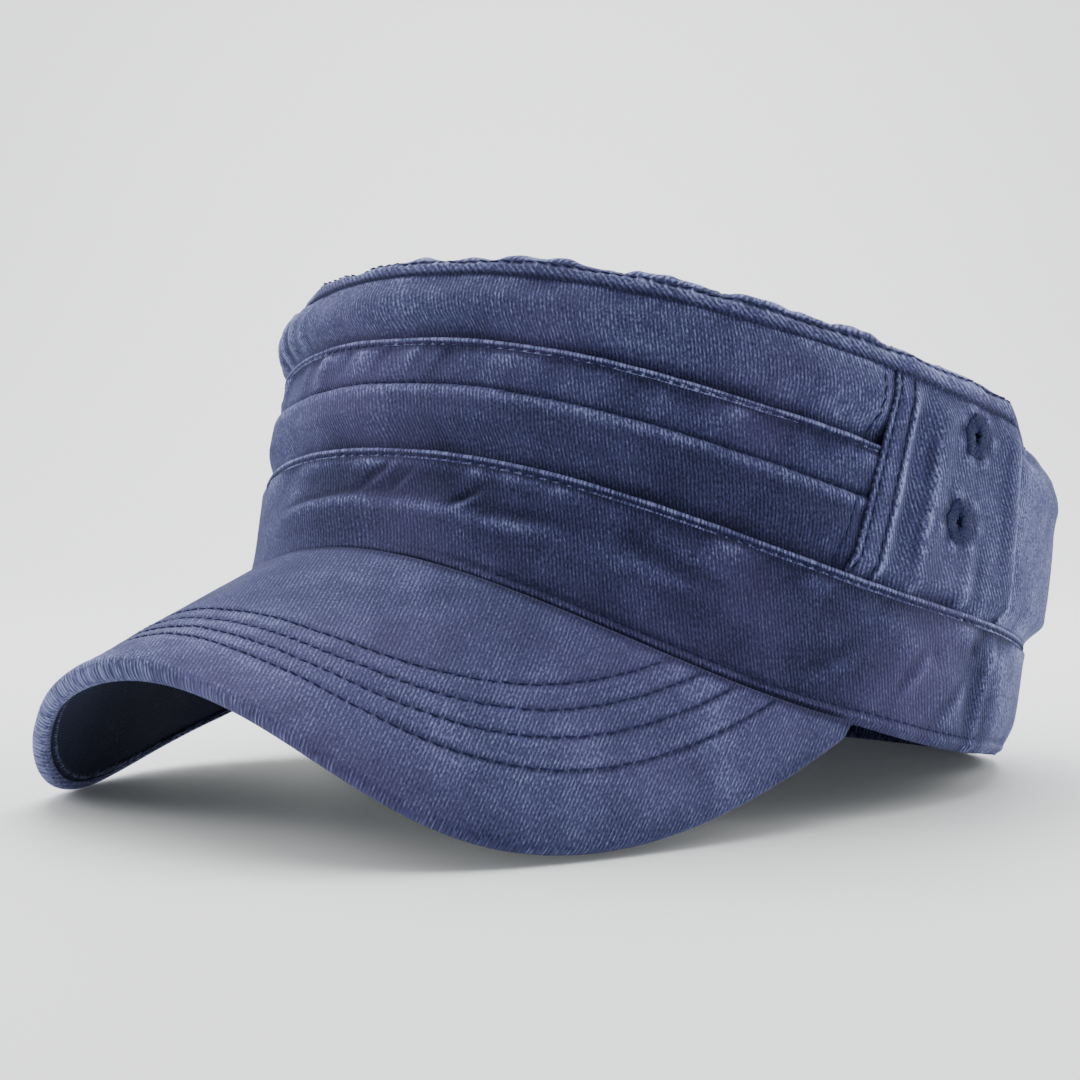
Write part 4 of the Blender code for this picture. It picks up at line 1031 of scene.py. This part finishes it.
turns = np.linspace(-179.9, 179.9, 1500)
threads.append(sew_row("band_threads", [on_cloth(
    "band_cloth", turns, 0.96 * (1.0 - (FOLD_STITCH - EDGE_RADIUS) / (band_top(turns) - hem_height(turns))))]))
hem_runs = []
for first, last in ((22.0, 100.0), (-100.0, -66.0)):
    turns_here = np.linspace(first, last, 500)
    hem_runs.append(on_cloth("band_cloth", turns_here, 0.96 * HEM_ROW / (
        band_top(turns_here) - hem_height(turns_here) - EDGE_RADIUS)))
threads.append(sew_row("hem_threads", hem_runs))
step = FELLED[:, 0] * FELL_WIDTH
fell_places = np.interp(FELL_ROWS, step, np.linspace(0, 1, len(FELLED)))
threads.append(sew_row("top_threads", [on_cloth("top_cloth", turns, np.full_like(turns, row))
                                       for row in fell_places]))
upright = []
for label in ("left", "right"):
    rises = np.linspace(0.03, 0.97, 120)
    for place in BORDER_ROWS:
        upright.append(on_cloth("side_cloth_" + label, np.full_like(rises, place / SIDE_WIDTH), rises))
for side in (-1.0, 1.0):
    for cloth, low, high in (("overlay_cloth", 0.03, STRIP_LINE - 0.02),
                              ("upper_front_cloth", STRIP_TOP + 0.04, 0.96)):
        rises = np.linspace(low, high, 80)
        seam = seam_at(FRONT_SEAM, rises)
        inner = (seam - math.degrees(SEAM_ROW / ROUND_ARC)) / (seam + UNDER_BORDER)
        upright.append(on_cloth(cloth, side * inner, rises))
threads.append(sew_row("side_seam_threads", upright))

rings_of_peak = []
for row in PEAK_ROWS:
    shares = np.linspace(-0.93, 0.93, 900)
    share, place = np.meshgrid(shares, np.linspace(0.01, 0.89, 120), indexing="ij")
    width = peak_width(share) - 0.0006
    inset = width + (np.minimum(HALF, 0.3 * width) - width) * place / 0.90
    away = row_distance(*peak_plan(share, inset), row)
    found = np.array([np.interp(0.0, line, place[0]) for line in away])
    kept = (found > 0.02) & (found < 0.88)
    rings_of_peak.append(on_cloth("peak_cloth", shares[kept], found[kept]))
threads.append(sew_row("peak_threads", rings_of_peak, thickness=0.00040))

# %% [markdown]
# ## Washed blue twill
# Twill shows fine slanting ribs, about 1.3 to the millimetre here. Dye covers the yarn unevenly and
# washes off its high spots, so each rib has a pale crest and a dark side, the yarn is flecked, and
# broad clouds of fade lie over it. The ribs are a sine of the UV map in metres, so they have their
# real spacing on every piece, and noise bends them a little as in real yarn.

# %% Dye the twill
DARK, MIDDLE, PALE = (0.007, 0.008, 0.026), (0.041, 0.044, 0.114), (0.215, 0.238, 0.430)


def twill(name, slant, spacing, dark=DARK, middle=MIDDLE, pale=PALE, tint=(0.105, 0.078, 0.200), lift=0.0):
    material = bpy.data.materials.new(name)
    material.use_nodes = True
    nodes, links = material.node_tree.nodes, material.node_tree.links
    shader = nodes["Principled BSDF"]
    shader.inputs["Roughness"].default_value = 0.9
    shader.inputs["Specular IOR Level"].default_value = 0.14
    shader.inputs["Sheen Weight"].default_value = 0.10
    shader.inputs["Sheen Roughness"].default_value = 0.6
    shader.inputs["Sheen Tint"].default_value = (0.50, 0.56, 1.0, 1.0)

    def node(kind, **settings):
        made = nodes.new(kind)
        for key, value in settings.items():
            setattr(made, key, value)
        return made

    def maths(operation, first, second=None):
        made = node("ShaderNodeMath", operation=operation)
        for socket, value in zip(made.inputs, (first, second)):
            if isinstance(value, (int, float)):
                socket.default_value = value
            elif value is not None:
                links.new(value, socket)
        return made.outputs[0]

    def noise(vector, scale, detail=2.0, rough=0.5):
        made = node("ShaderNodeTexNoise")
        made.inputs["Scale"].default_value = scale
        made.inputs["Detail"].default_value = detail
        made.inputs["Roughness"].default_value = rough
        links.new(vector, made.inputs["Vector"])
        return maths("SUBTRACT", made.outputs["Fac"], 0.5)

    weave = node("ShaderNodeUVMap", uv_map="weave").outputs["UV"]
    place = node("ShaderNodeTexCoord").outputs["Object"]
    angle = math.radians(slant)

    along_rib = node("ShaderNodeMapping")
    along_rib.inputs["Rotation"].default_value = (0.0, 0.0, -angle)
    along_rib.inputs["Scale"].default_value = (1.0, 1.0, 1.0)
    links.new(weave, along_rib.inputs["Vector"])
    stretched = node("ShaderNodeMapping")
    stretched.inputs["Scale"].default_value = (0.55, 1.0, 1.0)
    links.new(along_rib.outputs["Vector"], stretched.inputs["Vector"])

    across = node("ShaderNodeVectorMath", operation="DOT_PRODUCT")
    links.new(weave, across.inputs[0])
    across.inputs[1].default_value = (-math.sin(angle) / spacing, math.cos(angle) / spacing, 0.0)
    waver = noise(weave, 300.0, 1.0)
    phase = maths("ADD", across.outputs["Value"], maths("MULTIPLY", waver, 0.28))
    ribs = maths("SINE", maths("MULTIPLY", phase, 2.0 * math.pi))
    flecks = noise(stretched.outputs["Vector"], 2500.0, 1.5, 0.6)
    yarn = noise(stretched.outputs["Vector"], 800.0, 1.5, 0.55)
    clouds = noise(place, 34.0, 3.0, 0.55)
    blotches = noise(place, 120.0, 3.0, 0.6)
    wear_and_painted_light = node("ShaderNodeAttribute", attribute_name="wear_and_painted_light").outputs["Fac"]
    painted_shade = node("ShaderNodeAttribute", attribute_name="painted_shade").outputs["Fac"]

    broken = maths("ADD", 0.80, maths("MULTIPLY", yarn, 1.6))
    tone = maths("ADD", 0.38 + lift, maths("MULTIPLY", maths("MULTIPLY", ribs, broken), 0.18))
    for part, amount in ((flecks, 1.15), (yarn, 0.20), (clouds, 0.40), (blotches, 0.36)):
        tone = maths("ADD", tone, maths("MULTIPLY", part, amount))
    # The first stored value makes the tone paler, for wear and painted light; the painted shade darkens it,
    # and no paling shows where painted shade is full.
    bared_and_lit = maths("MULTIPLY", wear_and_painted_light, maths("ADD", 0.42, maths("MULTIPLY", maths("ADD", flecks, yarn), 0.8)))
    shaded_share = maths("MINIMUM", painted_shade, 1.0)
    tone = maths("ADD", tone, maths("MULTIPLY", bared_and_lit, maths("SUBTRACT", 1.0, shaded_share)))
    tone = maths("SUBTRACT", tone, maths("MULTIPLY", painted_shade, 0.30))

    dye = node("ShaderNodeValToRGB")
    dye.color_ramp.elements[0].position = 0.0
    dye.color_ramp.elements[0].color = (*dark, 1.0)
    dye.color_ramp.elements[1].position = 1.0
    dye.color_ramp.elements[1].color = (*pale, 1.0)
    half = dye.color_ramp.elements.new(0.45)
    half.color = (*middle, 1.0)
    links.new(tone, dye.inputs["Fac"])
    hint = node("ShaderNodeMix", data_type="RGBA")
    hint.inputs["B"].default_value = (*tint, 1.0)
    links.new(maths("MULTIPLY", maths("MAXIMUM", noise(place, 22.0, 2.0), 0.0), 0.9), hint.inputs["Factor"])
    links.new(dye.outputs["Color"], hint.inputs["A"])
    links.new(hint.outputs["Result"], shader.inputs["Base Color"])

    bump = node("ShaderNodeBump")
    bump.inputs["Strength"].default_value = 0.55
    bump.inputs["Distance"].default_value = 0.00022
    rise = maths("ADD", maths("MULTIPLY", ribs, 0.28), maths("MULTIPLY", maths("ADD", flecks, yarn), 1.5))
    links.new(rise, bump.inputs["Height"])
    links.new(bump.outputs["Normal"], shader.inputs["Normal"])
    return material


def dye_piece(piece, material):
    piece.data.materials.clear()
    piece.data.materials.append(material)


# Each copy has its own rib slant and spacing. Its lift is painted light and shade: the front wall, overlay and
# band, which face away from the lamps, are dyed darker, the sides, back and top paler, and the underside
# darkest.
wall_twill = twill("washed_twill", slant=106.0, spacing=0.00084, lift=-0.064)
side_twill = twill("washed_twill_side", slant=116.0, spacing=0.00084, lift=0.01)
top_twill = twill("washed_twill_top", slant=35.0, spacing=0.00090, lift=0.02)
peak_twill = twill("washed_twill_peak", slant=125.0, spacing=0.00094, lift=-0.012)
shaded_under_twill = twill("painted_shade_twill_under", slant=125.0, spacing=0.00094, lift=-0.12,
                    middle=(0.004, 0.005, 0.014), pale=(0.215, 0.238, 0.430))
for piece in (overlay, upper, band):
    dye_piece(piece, wall_twill)
for piece in (sides["left"], sides["right"], back):
    dye_piece(piece, side_twill)
dye_piece(top, top_twill)
dye_piece(peak_cloth, peak_twill)
dye_piece(underside, shaded_under_twill)
print("twills:", wall_twill.name, side_twill.name, top_twill.name, peak_twill.name, shaded_under_twill.name)

# %% [markdown]
# ## Thread
# The thread kept more of its dye than the cloth, so it is nearly black blue. A fine noise stands for
# its twist, and its sheen is low.

# %% Dye the thread
def thread_finish(name, dark, pale):
    material = bpy.data.materials.new(name)
    material.use_nodes = True
    nodes, links = material.node_tree.nodes, material.node_tree.links
    shader = nodes["Principled BSDF"]
    shader.inputs["Roughness"].default_value = 0.75
    shader.inputs["Specular IOR Level"].default_value = 0.12
    place = nodes.new("ShaderNodeTexCoord")
    twist = nodes.new("ShaderNodeTexNoise")
    twist.inputs["Scale"].default_value = 1800.0
    links.new(place.outputs["Object"], twist.inputs["Vector"])
    dye = nodes.new("ShaderNodeValToRGB")
    dye.color_ramp.elements[0].position = 0.3
    dye.color_ramp.elements[0].color = (*dark, 1.0)
    dye.color_ramp.elements[1].position = 0.75
    dye.color_ramp.elements[1].color = (*pale, 1.0)
    links.new(twist.outputs["Fac"], dye.inputs["Fac"])
    links.new(dye.outputs["Color"], shader.inputs["Base Color"])
    bump = nodes.new("ShaderNodeBump")
    bump.inputs["Distance"].default_value = 0.00008
    bump.inputs["Strength"].default_value = 0.5
    links.new(twist.outputs["Fac"], bump.inputs["Height"])
    links.new(bump.outputs["Normal"], shader.inputs["Normal"])
    return material


worn_thread = thread_finish("worn_thread", (0.0060, 0.0080, 0.034), (0.026, 0.032, 0.100))
for thread in threads:
    dye_piece(thread, worn_thread)
satin_thread = thread_finish("satin_thread", (0.0050, 0.0070, 0.028), (0.034, 0.042, 0.112))
for ring in rings:
    dye_piece(ring, satin_thread)

# %% [markdown]
# ## Floor, light and camera
# The cap rests by itself on a plain pale floor that curves up into the background; the floor also
# glows faintly, painted light that lifts the shadow under the cap. Two broad soft lights stand to
# the sides, so the front, which faces the camera, is the darkest part of the wall.

# %% Floor
bm = bmesh.new()
bmesh.ops.create_grid(bm, x_segments=60, y_segments=60, size=3.0)
for vert in bm.verts:
    away = max(0.0, -0.70 * vert.co.x + 0.71 * vert.co.y - 0.9)
    vert.co.z = 0.45 * away ** 2
mesh = bpy.data.meshes.new("floor")
bm.to_mesh(mesh)
bm.free()
mesh.shade_smooth()
floor = bpy.data.objects.new("floor", mesh)
bpy.context.collection.objects.link(floor)
paper = bpy.data.materials.new("pale_glowing_floor")
paper.use_nodes = True
paper.node_tree.nodes["Principled BSDF"].inputs["Base Color"].default_value = (0.83, 0.85, 0.83, 1.0)
paper.node_tree.nodes["Principled BSDF"].inputs["Roughness"].default_value = 0.55
# Painted light: the floor glows faintly, to lift the shadow under the cap.
paper.node_tree.nodes["Principled BSDF"].inputs["Emission Color"].default_value = (0.95, 1.0, 0.98, 1.0)
paper.node_tree.nodes["Principled BSDF"].inputs["Emission Strength"].default_value = 0.035
mesh.materials.append(paper)

# %% Lights
def soft_light(name, place, aim, size, power, colour=(1.0, 1.0, 1.0)):
    lamp = bpy.data.lights.new(name, "AREA")
    lamp.shape = "RECTANGLE"
    lamp.size, lamp.size_y = size
    lamp.energy = power
    lamp.color = colour
    holder = bpy.data.objects.new(name, lamp)
    holder.location = place
    holder.rotation_euler = (Vector(aim) - Vector(place)).to_track_quat("-Z", "Y").to_euler()
    bpy.context.collection.objects.link(holder)


soft_light("left_window", (-0.62, -0.52, 0.42), (0.0, -0.02, 0.04), (0.6, 0.7), 7.0)
soft_light("right_window", (0.45, 0.85, 0.40), (0.02, 0.03, 0.04), (0.6, 0.7), 7.0)
soft_light("low_fill", (0.66, -0.12, 0.06), (0.06, 0.03, 0.01), (0.5, 0.10), 1.3)
soft_light("ceiling", (-0.25, 0.25, 1.25), (0.0, 0.0, 0.0), (1.6, 1.6), 34.0)
soft_light("backdrop_light", (-0.9, 0.9, 1.7), (-1.5, 1.5, 0.4), (2.0, 1.0), 54.0)
world = bpy.data.worlds.new("studio")
world.use_nodes = True
world.node_tree.nodes["Background"].inputs["Color"].default_value = (0.88, 0.92, 1.0, 1.0)
world.node_tree.nodes["Background"].inputs["Strength"].default_value = 0.35
bpy.context.scene.world = world

# %% Camera
lens = bpy.data.cameras.new("camera")
lens.sensor_width = 36.0
lens.lens = 67.514
lens.clip_start = 0.01
camera = bpy.data.objects.new("camera", lens)
turn, tip = math.radians(44.108), math.radians(0.871)
back_along = Vector((math.sin(turn) * math.cos(tip), -math.cos(turn) * math.cos(tip), math.sin(tip)))
camera.matrix_world = Matrix.LocRotScale(Vector((0.32117, -0.34294, 0.06236)),
                                         back_along.to_track_quat("Z", "Y"), None)
bpy.context.collection.objects.link(camera)
bpy.context.scene.camera = camera
print("camera", [round(value, 4) for value in camera.location])

# %% [markdown]
# ## Finish
# The dressed cap has to stay inside the box of its solids, but for a little that cloth may stand
# proud. The last step brings the scene up to date.

# %% Finish
bpy.context.view_layer.update()
